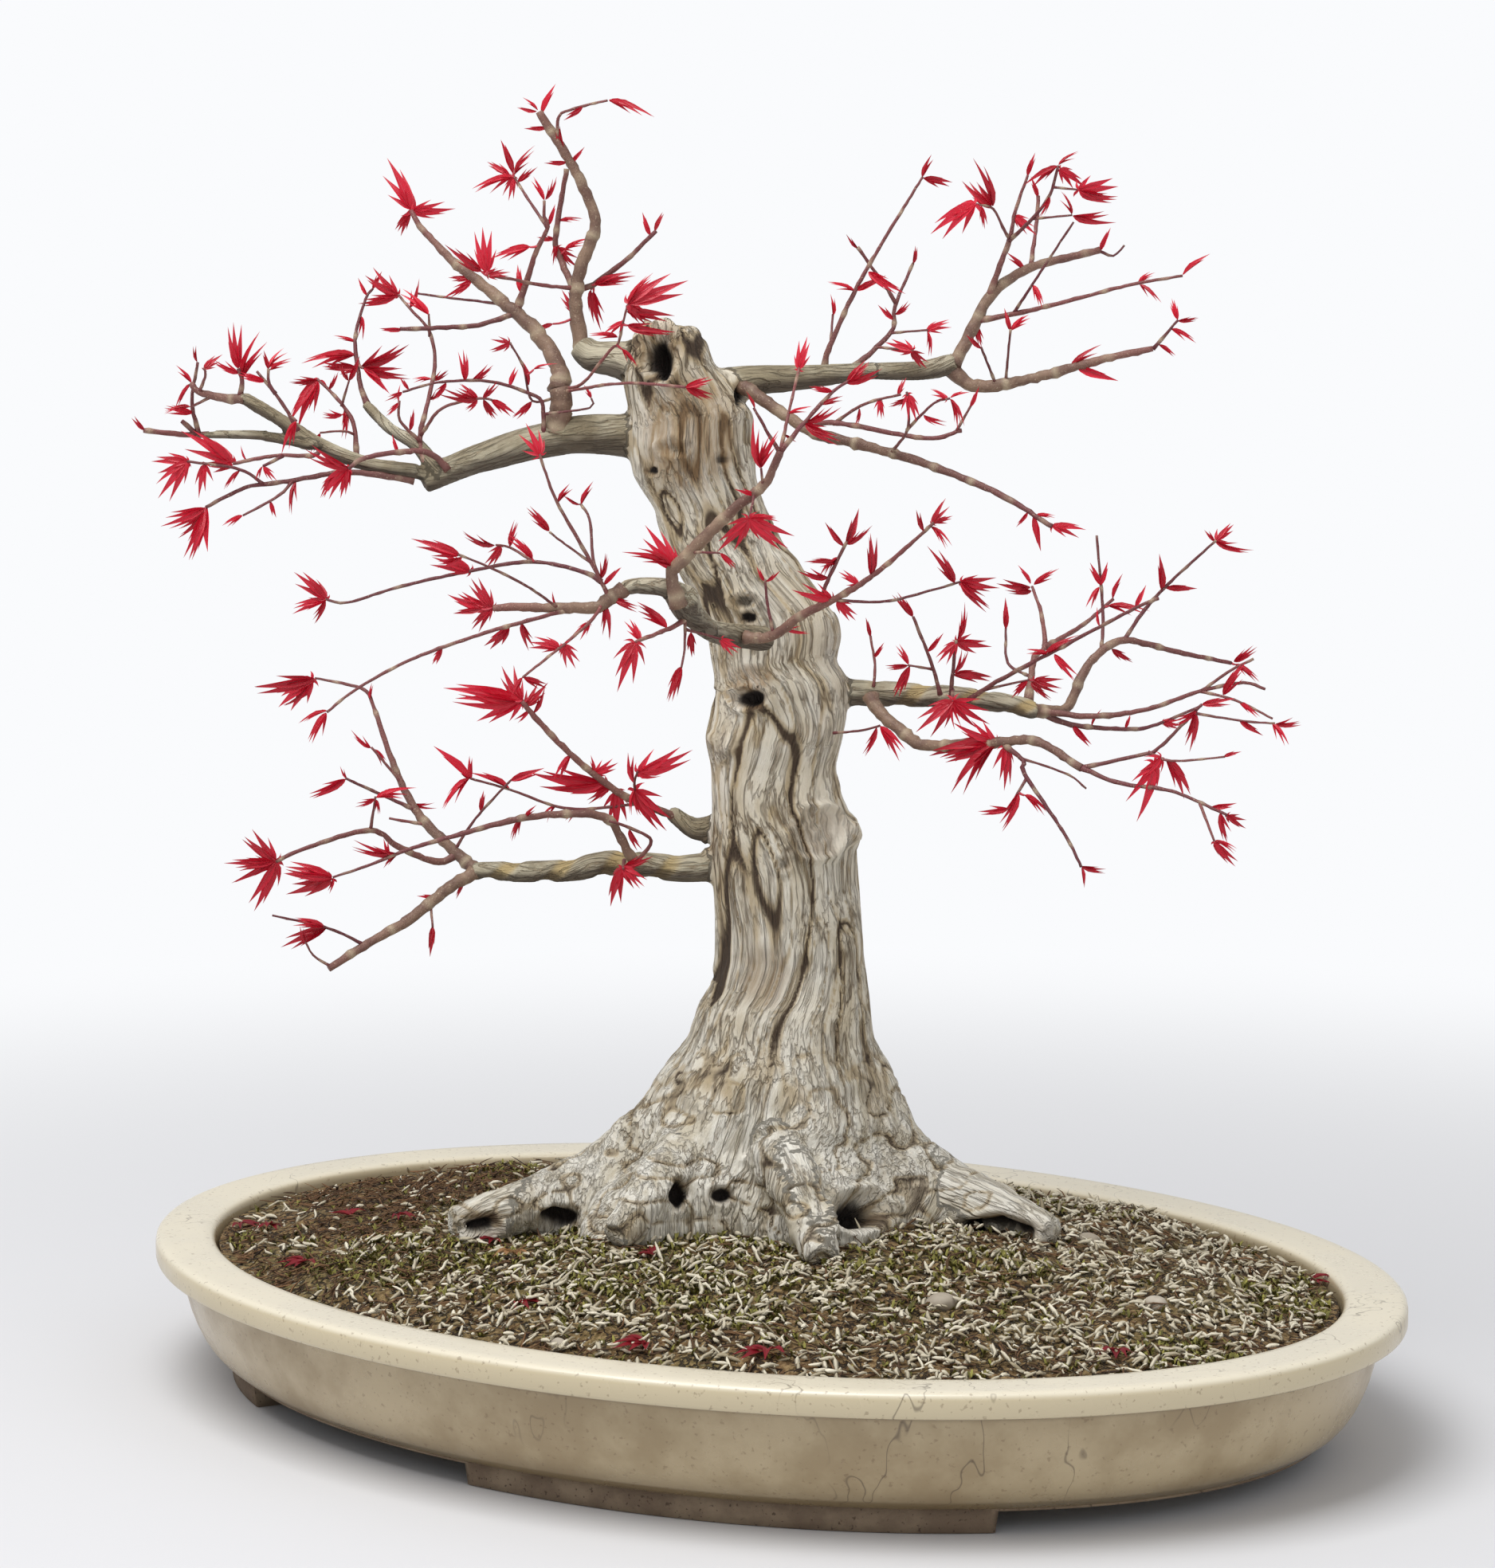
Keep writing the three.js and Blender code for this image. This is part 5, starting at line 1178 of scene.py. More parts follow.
def make_wood(name, material, relief):
    """The fused skin, pushed in along wandering furrows, cracks and hollows and out along ridges."""
    piece = fused_wood(name)
    points, normals = mesh_arrays(piece.data)
    paths = wood_paths()
    nearest, length, turn, grain = nearest_stems(points, paths)
    roots = 1 + len(ROOTS)
    limb = (nearest >= roots).astype(float)
    root = ((nearest > 0) & (nearest < roots)).astype(float)
    trunk = 1 - limb - root
    warp = np.stack([noise(points / 0.028, seed) - 0.5 for seed in (1, 2, 3)], axis=-1)
    bent = grain + warp * np.array([11, 11, 5]) * MM
    flared = 1 - rise(points[:, 2], 0.1, 0.15)
    wide = creases(bent / 0.0095, 4, 0.84, 0.99)
    narrow = creases(bent / 0.0052, 5, 0.82, 0.99)
    loose = points + warp * 8 * MM
    blocks = creases(loose / np.array([0.012, 0.012, 0.007]), 6, 0.88, 0.99)
    lumps = layered(points / 0.02, 7, 3) - 0.5
    wrinkles = creases(loose / np.array([0.009, 0.009, 0.0045]), 8, 0.6, 0.98)
    height = trunk * (1 - 0.8 * flared) * (-1.0 * wide - 0.45 * narrow)
    height += (trunk + root) * flared * (-0.9 * blocks + 4.5 * lumps - 0.5 * wrinkles)
    height += trunk * 1.8 * lumps + limb * (0.9 * lumps - 0.22 * narrow)
    scar = np.zeros(len(points))
    for number in SCARRED_LIMBS:
        groove = np.abs((length / SCAR_SPACING + turn / (2 * np.pi)) % 1 - 0.5)
        scar += (nearest == roots + number) * (1 - rise(groove, 0.1, 0.22)) * rise(length, 0.012, 0.022)
    height -= 0.8 * scar
    push, dark, brown = trunk_marks(points, normals)
    moved = points + normals * (height * relief * MM + push)[:, None]
    piece.data.vertices.foreach_set("co", moved.astype(np.float32).ravel())
    piece.data.polygons.foreach_set("use_smooth", [True] * len(piece.data.polygons))
    crack = trunk * (1 - 0.85 * flared) * (wide + 0.5 * narrow) + 0.8 * flared * (trunk + root) * blocks
    across, down = sheet_of(points)
    rough = (1 - rise(np.hypot((across - 865) / 62, (down - 545) / 78), 0.7, 1.2)) * trunk
    store(piece.data, "grain", bent)
    store(piece.data, "crack", np.clip(crack, 0, 1))
    store(piece.data, "dark", dark)
    store(piece.data, "brown", np.maximum(brown, 0.8 * rough))
    store(piece.data, "flare", flared * (1 - limb))
    store(piece.data, "limb", limb)
    store(piece.data, "scar", scar)
    piece.data.materials.append(material)
    piece.data.update()
    return piece


# The shoots.
TWIG_STEP = 2.2 * MM
TWIG_SLOT, LEAF_SLOT = 0, 1
# How each kind of leaf hangs: the turn of each lobe from the tip in degrees and its reach as a share of
# the leaf, how slender its lobes are, its curl toward the tip, the fold of its lobes, its lean toward
# the eye and its roll about its rib.
LEAF_KINDS = {
    "open": dict(turns=(0, 34, -34, 70, -70, 112, -112), reaches=(1, 0.93, 0.93, 0.72, 0.72, 0.4, 0.4),
                 slender=0.088, curl=0.2, fold=0.6, lean=0.35, roll=0.5),
    "folded": dict(turns=(0, 17, -17, 36, -36), reaches=(1, 0.92, 0.92, 0.7, 0.7),
                   slender=0.075, curl=0.26, fold=0.9, lean=0.5, roll=0.9),
    "buds": dict(turns=(0, 11, -11), reaches=(1, 0.8, 0.7),
                 slender=0.1, curl=0.12, fold=1, lean=0.3, roll=0.9),
}
LOBE_STEPS = np.array([0, 0.16, 0.36, 0.58, 0.8, 1])
LOBE_WIDTHS = np.array([0.25, 0.75, 1, 0.72, 0.34, 0.02])


def closest_on(stems, across, down):
    """The point of some stems that is closest to a place on the sheet: across, down, near."""
    best, found = np.inf, None
    for stem in stems:
        start, run = stem[:-1, :3], np.diff(stem[:, :3], axis=0)
        reach = (across - start[:, 0]) * run[:, 0] + (down - start[:, 1]) * run[:, 1]
        share = np.clip(reach / (run[:, 0] ** 2 + run[:, 1] ** 2), 0, 1)
        at = start + run * share[:, None]
        gap = np.hypot(at[:, 0] - across, at[:, 1] - down)
        if gap.min() < best:
            best, found = gap.min(), at[gap.argmin()]
    return found


def read_stems(rows):
    """The stems of a shoot, each side twig rooted in the closest earlier stem."""
    stems = [read_stem(rows[0], LIMB_NEAR_STEP)]
    for row in rows[1:]:
        stem = read_stem(row, LIMB_NEAR_STEP)
        stem[0, :3] = closest_on(stems, stem[0, 0], stem[0, 1])
        stems.append(stem)
    return stems


def put_twig(bag, stem, draw):
    """A twig: circles along its path that swell at evenly spaced nodes and toward the root."""
    path, radii = stem_path(stem, TWIG_STEP)
    length = np.concatenate([[0], np.cumsum(np.linalg.norm(np.diff(path, axis=0), axis=1))])
    spacing = 16 * MM + 8 * MM * draw.random()
    from_node = np.abs((length / spacing + 0.3) % 1 - 0.5) * spacing
    node = np.exp(-((from_node / (1.1 * MM)) ** 2)) * (length > 4 * MM)
    swell = 1 + 0.22 * node + 0.35 * np.exp(-length / (2.5 * MM)) + 0.06 * draw.standard_normal(len(path))
    wander = (draw.random((len(path), 3)) - 0.5) * radii[:, None] * 0.25
    sides = 10 if radii[0] > 1.6 * MM else 7
    thin = 0.8 + 0.2 * rise(radii, 0.8 * MM, 2 * MM)
    points, faces = tube(path + wander, radii * thin * swell, sides)
    slots = np.repeat(np.arange(len(path)), sides)
    bag.put(points, faces, TWIG_SLOT, thick=radii[slots] / MM, run=length[slots] / MM,
            node=node[slots], tint=draw.random(), across=0.0, along=0.0)


def put_stalk(bag, start, end, width, tint):
    """A leaf stalk: small circles along a curve that sags a little between its ends."""
    share = np.linspace(0, 1, 5)[:, None]
    sag = -0.08 * np.linalg.norm(end - start) * 4 * share * (1 - share)
    path = start + (end - start) * share + sag * UP
    points, faces = tube(path, width * (1 - 0.35 * share[:, 0]), 4)
    bag.put(points, faces, LEAF_SLOT, thick=0.0, run=0.0, node=0.0, tint=tint, across=0.0, along=0.15)


def put_leaf(bag, row, kind, stems, draw):
    """A leaf: lobes fanned from the end of its stalk, each a strip folded along its rib, whose edges lie
    at plus and minus the lobe width of the rib, and which bends down with the square of its length."""
    base_across, base_down, tip_across, tip_down, width = row
    at = closest_on(stems, base_across, base_down)
    root = place(*at)
    sheet_length = math.hypot(tip_across - base_across, tip_down - base_down)
    lean = (draw.random() - 0.35) * 2 * kind["lean"] * sheet_length * SHEET_UNIT
    tip = place(tip_across, tip_down, at[2] + lean)
    whole = np.linalg.norm(tip - root)
    length = min(sheet_length * SHEET_UNIT + 0.5 * MM, 0.97 * whole)
    along = unit(tip - root)
    base = tip - along * length
    flat = unit(np.cross(along, -SIGHT))
    roll = (draw.random() - 0.5) * 2 * kind["roll"]
    across = flat * math.cos(roll) + np.cross(along, flat) * math.sin(roll)
    facing = np.cross(across, along)
    tint = draw.random()
    if whole - length > 1.5 * MM:
        put_stalk(bag, root, base, 0.55 * MM, tint)
    turns = np.radians(np.array(kind["turns"]) + draw.normal(0, 5, len(kind["turns"])))
    reach = np.array(kind["reaches"]) * length * (1 + draw.normal(0, 0.06, len(turns)))
    spread = 2 * np.max(np.abs(np.sin(turns)) * reach)
    squeeze = np.clip(width * SHEET_UNIT / spread, 0.45, 1.5)
    steps = LOBE_STEPS[None] * reach[:, None]
    bend = turns[:, None] * (1 - 0.2 * LOBE_STEPS)
    x, y = steps * np.sin(bend) * squeeze, steps * np.cos(bend)
    half = LOBE_WIDTHS * (kind["slender"] * reach)[:, None]
    drop = -kind["curl"] * steps**2 / length * (1 + np.abs(turns))[:, None]
    drop += (draw.random(len(turns)) - 0.5)[:, None] * 0.25 * steps
    edge_x, edge_y = np.cos(bend), -np.sin(bend)
    strip = []
    for side in (-1, 0, 1):
        lift = kind["fold"] * half * abs(side)
        strip.append(np.stack([x + side * half * edge_x, y + side * half * edge_y, drop + lift], axis=-1))
    local = np.stack(strip, axis=2)
    points = base + local[..., :1] * across + local[..., 1:2] * along + local[..., 2:] * facing
    lobes, stations = points.shape[:2]
    lobe, station, side = np.meshgrid(np.arange(lobes), np.arange(stations - 1), (0, 1), indexing="ij")
    first = (lobe * stations + station) * 3 + side
    faces = np.stack([first, first + 1, first + 4, first + 3], axis=-1).reshape(-1, 4)
    edge = np.broadcast_to(np.array([-1, 0, 1]), points.shape[:3])
    share = np.broadcast_to(LOBE_STEPS[None, :, None], points.shape[:3])
    bag.put(points.reshape(-1, 3), [faces], LEAF_SLOT, thick=0.0, run=0.0, node=0.0, tint=tint,
            across=edge.reshape(-1), along=share.reshape(-1))


def make_shoot(name, shoot, materials, seed):
    """A shoot: its twigs, and its leaves on their stalks."""
    draw = np.random.default_rng(seed)
    stems = read_stems(shoot["twigs"])
    bag = Bag()
    for stem in stems:
        put_twig(bag, stem, draw)
    for kind_name, kind in LEAF_KINDS.items():
        for row in shoot.get(kind_name, []):
            put_leaf(bag, row, kind, stems, draw)
    return bag.make(name, materials)


# The ground cover.
FALLEN_LEAVES = [
    (300, 1540), (340, 1542), (440, 1530), (500, 1530), (385, 1587), (620, 1560), (650, 1640), (820, 1580),
    (890, 1540), (810, 1690), (965, 1700), (1400, 1700), (1620, 1575), (1645, 1612),
]
DRY_LEAF = (645, 1578)
PEBBLES = [(1310, 1560), (1365, 1560), (1180, 1640), (700, 1690), (1450, 1640)]
GROUND_STEPS = 20
STRAND_STEPS = 4
STRAND_LIFT = 2.2 * MM
PALE_LENGTH, PALE_WIDTH = 4 * MM, 0.8 * MM
FIBRE_LENGTH, FIBRE_WIDTH = 7 * MM, 0.4 * MM
MOSS_SHOOTS = 4200
MOSS_BLADES = 4
MOSS_HALF_WIDTH = 0.45 * MM
PEBBLE_RINGS, PEBBLE_SIDES = 12, 18


def ground_at(across, down):
    """The point of the soil seen at a place on the sheet."""
    near = 0.0
    for _ in range(GROUND_STEPS):
        point, nearer = place(across, down, near), place(across, down, near + MM)
        height = soil_height(point[..., 0], point[..., 1])
        near = near - 0.7 * (point[..., 2] - height) / (nearer[..., 2] - point[..., 2]) * MM
    return point


def scattered(count, draw, keep):
    """Random places in the oval of the soil, thinned by a share from 0 to 1 at each place."""
    turn, share = 2 * np.pi * draw.random(count * 4), np.sqrt(draw.random(count * 4)) * 0.985
    x = share * (POT_HALF_LENGTH - SOIL_TOP_INSET * MM) * np.cos(turn)
    y = share * (POT_HALF_WIDTH - SOIL_TOP_INSET * MM) * np.sin(turn)
    kept = draw.random(count * 4) < keep(x, y)
    return x[kept][:count], y[kept][:count]


def moss_share(x, y):
    """Where moss grows: 1 in patches about the roots and at the far left, 0 elsewhere."""
    flat = np.stack([x, y, np.zeros_like(x)], axis=-1)
    patch = rise(layered(flat / 0.05, 21, 2), 0.5, 0.64)
    near_roots = np.exp(-(((x - 0.01) / 0.12) ** 2) - ((y + 0.05) / 0.07) ** 2)
    return np.clip(patch * 0.6 + near_roots * 0.6, 0, 1)


def brown_share(x, y):
    """Where the soil is bare and brown: mostly toward the left end."""
    flat = np.stack([x, y, np.zeros_like(x)], axis=-1)
    return rise(-x, 0.02, 0.2) * rise(layered(flat / 0.04, 22, 2), 0.35, 0.55)


def put_strands(bag, x, y, lengths, width, lift, draw, tint):
    """Short crooked strands that lie on the soil: triangles carried along curves, all at once."""
    count, steps = len(x), STRAND_STEPS
    heading = 2 * np.pi * draw.random(count)
    swing = draw.normal(0, 0.4, (count, steps)).cumsum(axis=1)
    angle = heading[:, None] + swing
    step = lengths[:, None] / (steps - 1)
    px = x[:, None] + np.cumsum(np.cos(angle) * step, axis=1) - np.cos(angle[:, :1]) * step
    py = y[:, None] + np.cumsum(np.sin(angle) * step, axis=1) - np.sin(angle[:, :1]) * step
    hop = lift * (np.linspace(-0.2, 1, steps) * draw.normal(0, 0.6, (count, 1)) + draw.random((count, 1)))
    middle = np.stack([px, py, soil_height(px, py) + hop + 0.4 * width], axis=-1)
    side = np.stack([-np.sin(angle), np.cos(angle), np.zeros_like(angle)], axis=-1)
    taper = width * np.array([0.6, 1, 0.9, 0.4])[None, :, None]
    taper = taper * (0.6 + 0.8 * draw.random((count, 1, 1)))
    corners = [middle + side * taper, middle - side * taper, middle + taper * UP * 1.1]
    rings = np.stack(corners[::-1], axis=2)
    quads = ring_faces(steps, 3)
    faces = (quads[None] + (np.arange(count) * steps * 3)[:, None, None]).reshape(-1, 4)
    shade = np.repeat(np.clip(tint + draw.normal(0, 0.26, count), 0, 1), steps * 3)
    bag.put(rings.reshape(-1, 3), [faces], tint=shade, across=0.0, along=0.5)


def make_moss(name, material):
    """Moss: little shoots, each a fan of narrow upright blades."""
    draw = np.random.default_rng(5)
    x, y = scattered(MOSS_SHOOTS, draw, moss_share)
    x, y = np.repeat(x, MOSS_BLADES), np.repeat(y, MOSS_BLADES)
    turn = 2 * np.pi * draw.random(len(x))
    reach = (1.2 + 1.6 * draw.random(len(x))) * MM
    root = np.stack([x, y, soil_height(x, y) - 0.4 * MM], axis=-1)
    out = np.stack([np.cos(turn), np.sin(turn), np.zeros_like(turn)], axis=-1)
    side = np.stack([-np.sin(turn), np.cos(turn), np.zeros_like(turn)], axis=-1) * MOSS_HALF_WIDTH
    middle = root + out * reach[:, None] * 0.5 + UP * reach[:, None] * 0.9
    tip = root + out * reach[:, None] + UP * reach[:, None] * 1.1
    points = np.stack([root + side, root - side, middle - side, middle + side, tip], axis=1)
    corners = points.shape[1]
    first = (np.arange(len(x)) * corners)[:, None]
    blocks = [first + np.array([0, 1, 2, 3]), first + np.array([3, 2, 4])]
    bag = Bag()
    shade = np.repeat(draw.random(len(x)), corners)
    bag.put(points.reshape(-1, 3), blocks, tint=shade, across=0.0, along=0.5)
    return bag.make(name, [material])


def make_strands(name, material, count, seed, keep, length, width, tint):
    """Strands of dead moss or root fibre strewn where keep allows."""
    draw = np.random.default_rng(seed)
    x, y = scattered(count, draw, keep)
    bag = Bag()
    lengths = length * (0.5 + draw.random(len(x)))
    put_strands(bag, x, y, lengths, width, STRAND_LIFT, draw, tint)
    return bag.make(name, [material])


def make_litter(name, materials):
    """Fallen red leaves and one dry one, flat lobed fans that lie on the soil."""
    draw = np.random.default_rng(8)
    bag = Bag()
    places = FALLEN_LEAVES + [DRY_LEAF]
    for number, (across, down) in enumerate(places):
        point = ground_at(across, down) + UP * 1.4 * MM
        size = (9 + 7 * draw.random()) * MM
        heading = 2 * np.pi * draw.random()
        turns = np.radians(np.array([0, 30, -30, 62, -62]) + draw.normal(0, 6, 5))
        reach = size * np.array([1, 0.9, 0.9, 0.7, 0.7])
        steps = LOBE_STEPS[None] * reach[:, None]
        angle = heading + turns[:, None]
        half = LOBE_WIDTHS * (0.14 * reach)[:, None]
        curl = 2.2 * MM * np.sin(3 * LOBE_STEPS)[None] * draw.random((5, 1))
        strip = []
        for side in (-1, 0, 1):
            x = steps * np.cos(angle) - side * half * np.sin(angle)
            y = steps * np.sin(angle) + side * half * np.cos(angle)
            strip.append(np.stack([x, y, curl + 0.6 * half * abs(side)], axis=-1))
        points = point + np.stack(strip, axis=2)
        lobe, station, side = np.meshgrid(np.arange(5), np.arange(5), (0, 1), indexing="ij")
        first = (lobe * 6 + station) * 3 + side
        faces = np.stack([first, first + 3, first + 4, first + 1], axis=-1).reshape(-1, 4)
        edge = np.broadcast_to(np.array([-1, 0, 1]), points.shape[:3]).reshape(-1)
        share = np.broadcast_to(LOBE_STEPS[None, :, None], points.shape[:3]).reshape(-1)
        bag.put(points.reshape(-1, 3), [faces], number // len(FALLEN_LEAVES),
                tint=draw.random() * 0.5, across=edge, along=share)
    return bag.make(name, materials)


def make_pebbles(name, material):
    """Small stones: spheres pushed about by noise and pressed flat."""
    bag = Bag()
    for number, (across, down) in enumerate(PEBBLES):
        middle = ground_at(across, down)
        up = np.linspace(0.08, np.pi - 0.08, PEBBLE_RINGS)[:, None]
        turn = 2 * np.pi * np.arange(PEBBLE_SIDES) / PEBBLE_SIDES
        ball = np.stack([np.sin(up) * np.cos(turn), np.sin(up) * np.sin(turn),
                         -np.cos(up) * np.ones_like(turn)], axis=-1)
        size = (3.6 + 1.2 * (number % 3)) * MM
        bumps = 1 + 0.45 * (noise(ball * 1.6 + number * 9, 41) - 0.5)
        points = middle + ball * bumps[..., None] * size * np.array([1, 0.8, 0.6]) + UP * size * 0.2
        bag.put(*capped(points, ring_faces(PEBBLE_RINGS, PEBBLE_SIDES)), tint=number / len(PEBBLES))
    return bag.make(name, [material])


# Shader building.
def add(tree, kind, inputs=None, **settings):
    """A new shader node, whose inputs are set to numbers and colours or linked to sockets."""
    node = tree.nodes.new(kind)
    for key, value in settings.items():
        setattr(node, key, value)
    for key, value in (inputs or {}).items():
        if isinstance(value, bpy.types.NodeSocket):
            tree.links.new(value, node.inputs[key])
        else:
            node.inputs[key].default_value = value
    return node


def colour(red, green, blue):
    """A colour given as it is seen, from 0 to 255, made linear."""
    share = np.array([red, green, blue]) / 255
    linear = np.where(share > 0.04045, ((share + 0.055) / 1.055) ** 2.4, share / 12.92)
    return (*linear.tolist(), 1)


def mix(tree, share, low, high):
    """A colour between two others."""
    return add(tree, "ShaderNodeMix", {0: share, 6: low, 7: high}, data_type="RGBA").outputs[2]


def math_node(tree, operation, first, second=0.0, third=0.0):
    """A sum, product or other operation on up to three values."""
    inputs = {0: first, 1: second, 2: third}
    return add(tree, "ShaderNodeMath", inputs, operation=operation).outputs[0]


def between(tree, value, low, high, to_low=0.0, to_high=1.0):
    """A smooth step of a value from low to high."""
    inputs = {0: value, 1: low, 2: high, 3: to_low, 4: to_high}
    return add(tree, "ShaderNodeMapRange", inputs, interpolation_type="SMOOTHSTEP").outputs[0]


def noise_node(tree, vector, scale, detail=4.0, roughness=0.55):
    """Layered noise from 0 to 1."""
    inputs = {"Vector": vector, "Scale": scale, "Detail": detail, "Roughness": roughness}
    return add(tree, "ShaderNodeTexNoise", inputs).outputs["Fac"]


def attribute(tree, name, vector=False):
    """A value, or a vector, that the mesh keeps for each of its points."""
    node = add(tree, "ShaderNodeAttribute", attribute_name=name)
    return node.outputs["Vector" if vector else "Fac"]


def bump(tree, height, distance, strength=1.0):
    """A normal that follows a height, in metres."""
    inputs = {"Height": height, "Distance": distance, "Strength": strength}
    return add(tree, "ShaderNodeBump", inputs).outputs["Normal"]


def group_tree(name, inputs, outputs):
    """A new shader group with its sockets; returns it with its input and output nodes."""
    tree = bpy.data.node_groups.new(name, "ShaderNodeTree")
    for socket, kind in inputs:
        tree.interface.new_socket(socket, in_out="INPUT", socket_type=kind)
    for socket, kind in outputs:
        tree.interface.new_socket(socket, in_out="OUTPUT", socket_type=kind)
    return tree, tree.nodes.new("NodeGroupInput"), tree.nodes.new("NodeGroupOutput")


def make_mottle_group():
    """Soft patches and fine specks over a surface, from one noise of each size."""
    inputs = [("Vector", "NodeSocketVector"), ("Patch Scale", "NodeSocketFloat"),
              ("Speck Scale", "NodeSocketFloat")]
    outputs = [("Patches", "NodeSocketFloat"), ("Specks", "NodeSocketFloat")]
    tree, source, sink = group_tree("Mottle", inputs, outputs)
    patches = noise_node(tree, source.outputs[0], source.outputs[1], 5, 0.6)
    specks = noise_node(tree, source.outputs[0], source.outputs[2], 2, 0.5)
    tree.links.new(between(tree, patches, 0.38, 0.66), sink.inputs[0])
    tree.links.new(between(tree, specks, 0.62, 0.72), sink.inputs[1])
    return tree


def make_grain_group():
    """Fine cracks and fibres drawn out along the stem: a height and a mask of the cracks."""
    inputs = [("Vector", "NodeSocketVector"), ("Scale", "NodeSocketFloat")]
    outputs = [("Height", "NodeSocketFloat"), ("Cracks", "NodeSocketFloat")]
    tree, source, sink = group_tree("Grain", inputs, outputs)
    scale = source.outputs[1]
    fine = noise_node(tree, source.outputs[0], math_node(tree, "MULTIPLY", scale, 3.1), 6, 0.65)
    broad = noise_node(tree, source.outputs[0], scale, 3, 0.6)
    ridge = math_node(tree, "ABSOLUTE", math_node(tree, "SUBTRACT", broad, 0.5))
    cracks = between(tree, ridge, 0.0, 0.045, 1.0, 0.0)
    height = math_node(tree, "MULTIPLY_ADD", cracks, -0.8, fine)
    tree.links.new(height, sink.inputs[0])
    tree.links.new(cracks, sink.inputs[1])
    return tree


def make_veins_group():
    """The ribs of a blade, from its across and along values: a middle rib and fainter side ribs."""
    inputs = [("Across", "NodeSocketFloat"), ("Along", "NodeSocketFloat")]
    tree, source, sink = group_tree("Veins", inputs, [("Veins", "NodeSocketFloat")])
    away = math_node(tree, "ABSOLUTE", source.outputs[0])
    rib = between(tree, away, 0.0, 0.16, 1, 0)
    wave = math_node(tree, "SUBTRACT", math_node(tree, "MULTIPLY", source.outputs[1], 9.0), away)
    side_rib = between(tree, math_node(tree, "PINGPONG", wave, 0.5), 0.0, 0.07, 1, 0)
    faint = math_node(tree, "MULTIPLY", side_rib, 0.35)
    tree.links.new(math_node(tree, "MAXIMUM", rib, faint), sink.inputs[0])
    return tree


def use_group(tree, name, maker, inputs):
    """A node of a shader group, which is made on its first use; returns its outputs."""
    shared = bpy.data.node_groups.get(name) or maker()
    return add(tree, "ShaderNodeGroup", inputs, node_tree=shared).outputs


def mottle(tree, vector, patch_scale, speck_scale):
    """The patches and specks of the Mottle group."""
    inputs = {0: vector, 1: patch_scale, 2: speck_scale}
    patches, specks = use_group(tree, "Mottle", make_mottle_group, inputs)
    return patches, specks


def grain(tree, vector, scale):
    """The height and cracks of the Grain group."""
    height, cracks = use_group(tree, "Grain", make_grain_group, {0: vector, 1: scale})
    return height, cracks


def new_material(name):
    """An empty material: its tree, its shader and the object coordinates."""
    material = bpy.data.materials.new(name)
    material.use_nodes = True
    tree = material.node_tree
    tree.nodes.clear()
    shader = tree.nodes.new("ShaderNodeBsdfPrincipled")
    sink = tree.nodes.new("ShaderNodeOutputMaterial")
    tree.links.new(shader.outputs[0], sink.inputs["Surface"])
    here = tree.nodes.new("ShaderNodeTexCoord").outputs["Object"]
    return material, tree, shader, here


def wire(tree, shader, **inputs):
    """Links sockets to a shader's inputs, or sets them."""
    for key, value in inputs.items():
        socket = shader.inputs[key.replace("_", " ")]
        if isinstance(value, bpy.types.NodeSocket):
            tree.links.new(value, socket)
        else:
            socket.default_value = value


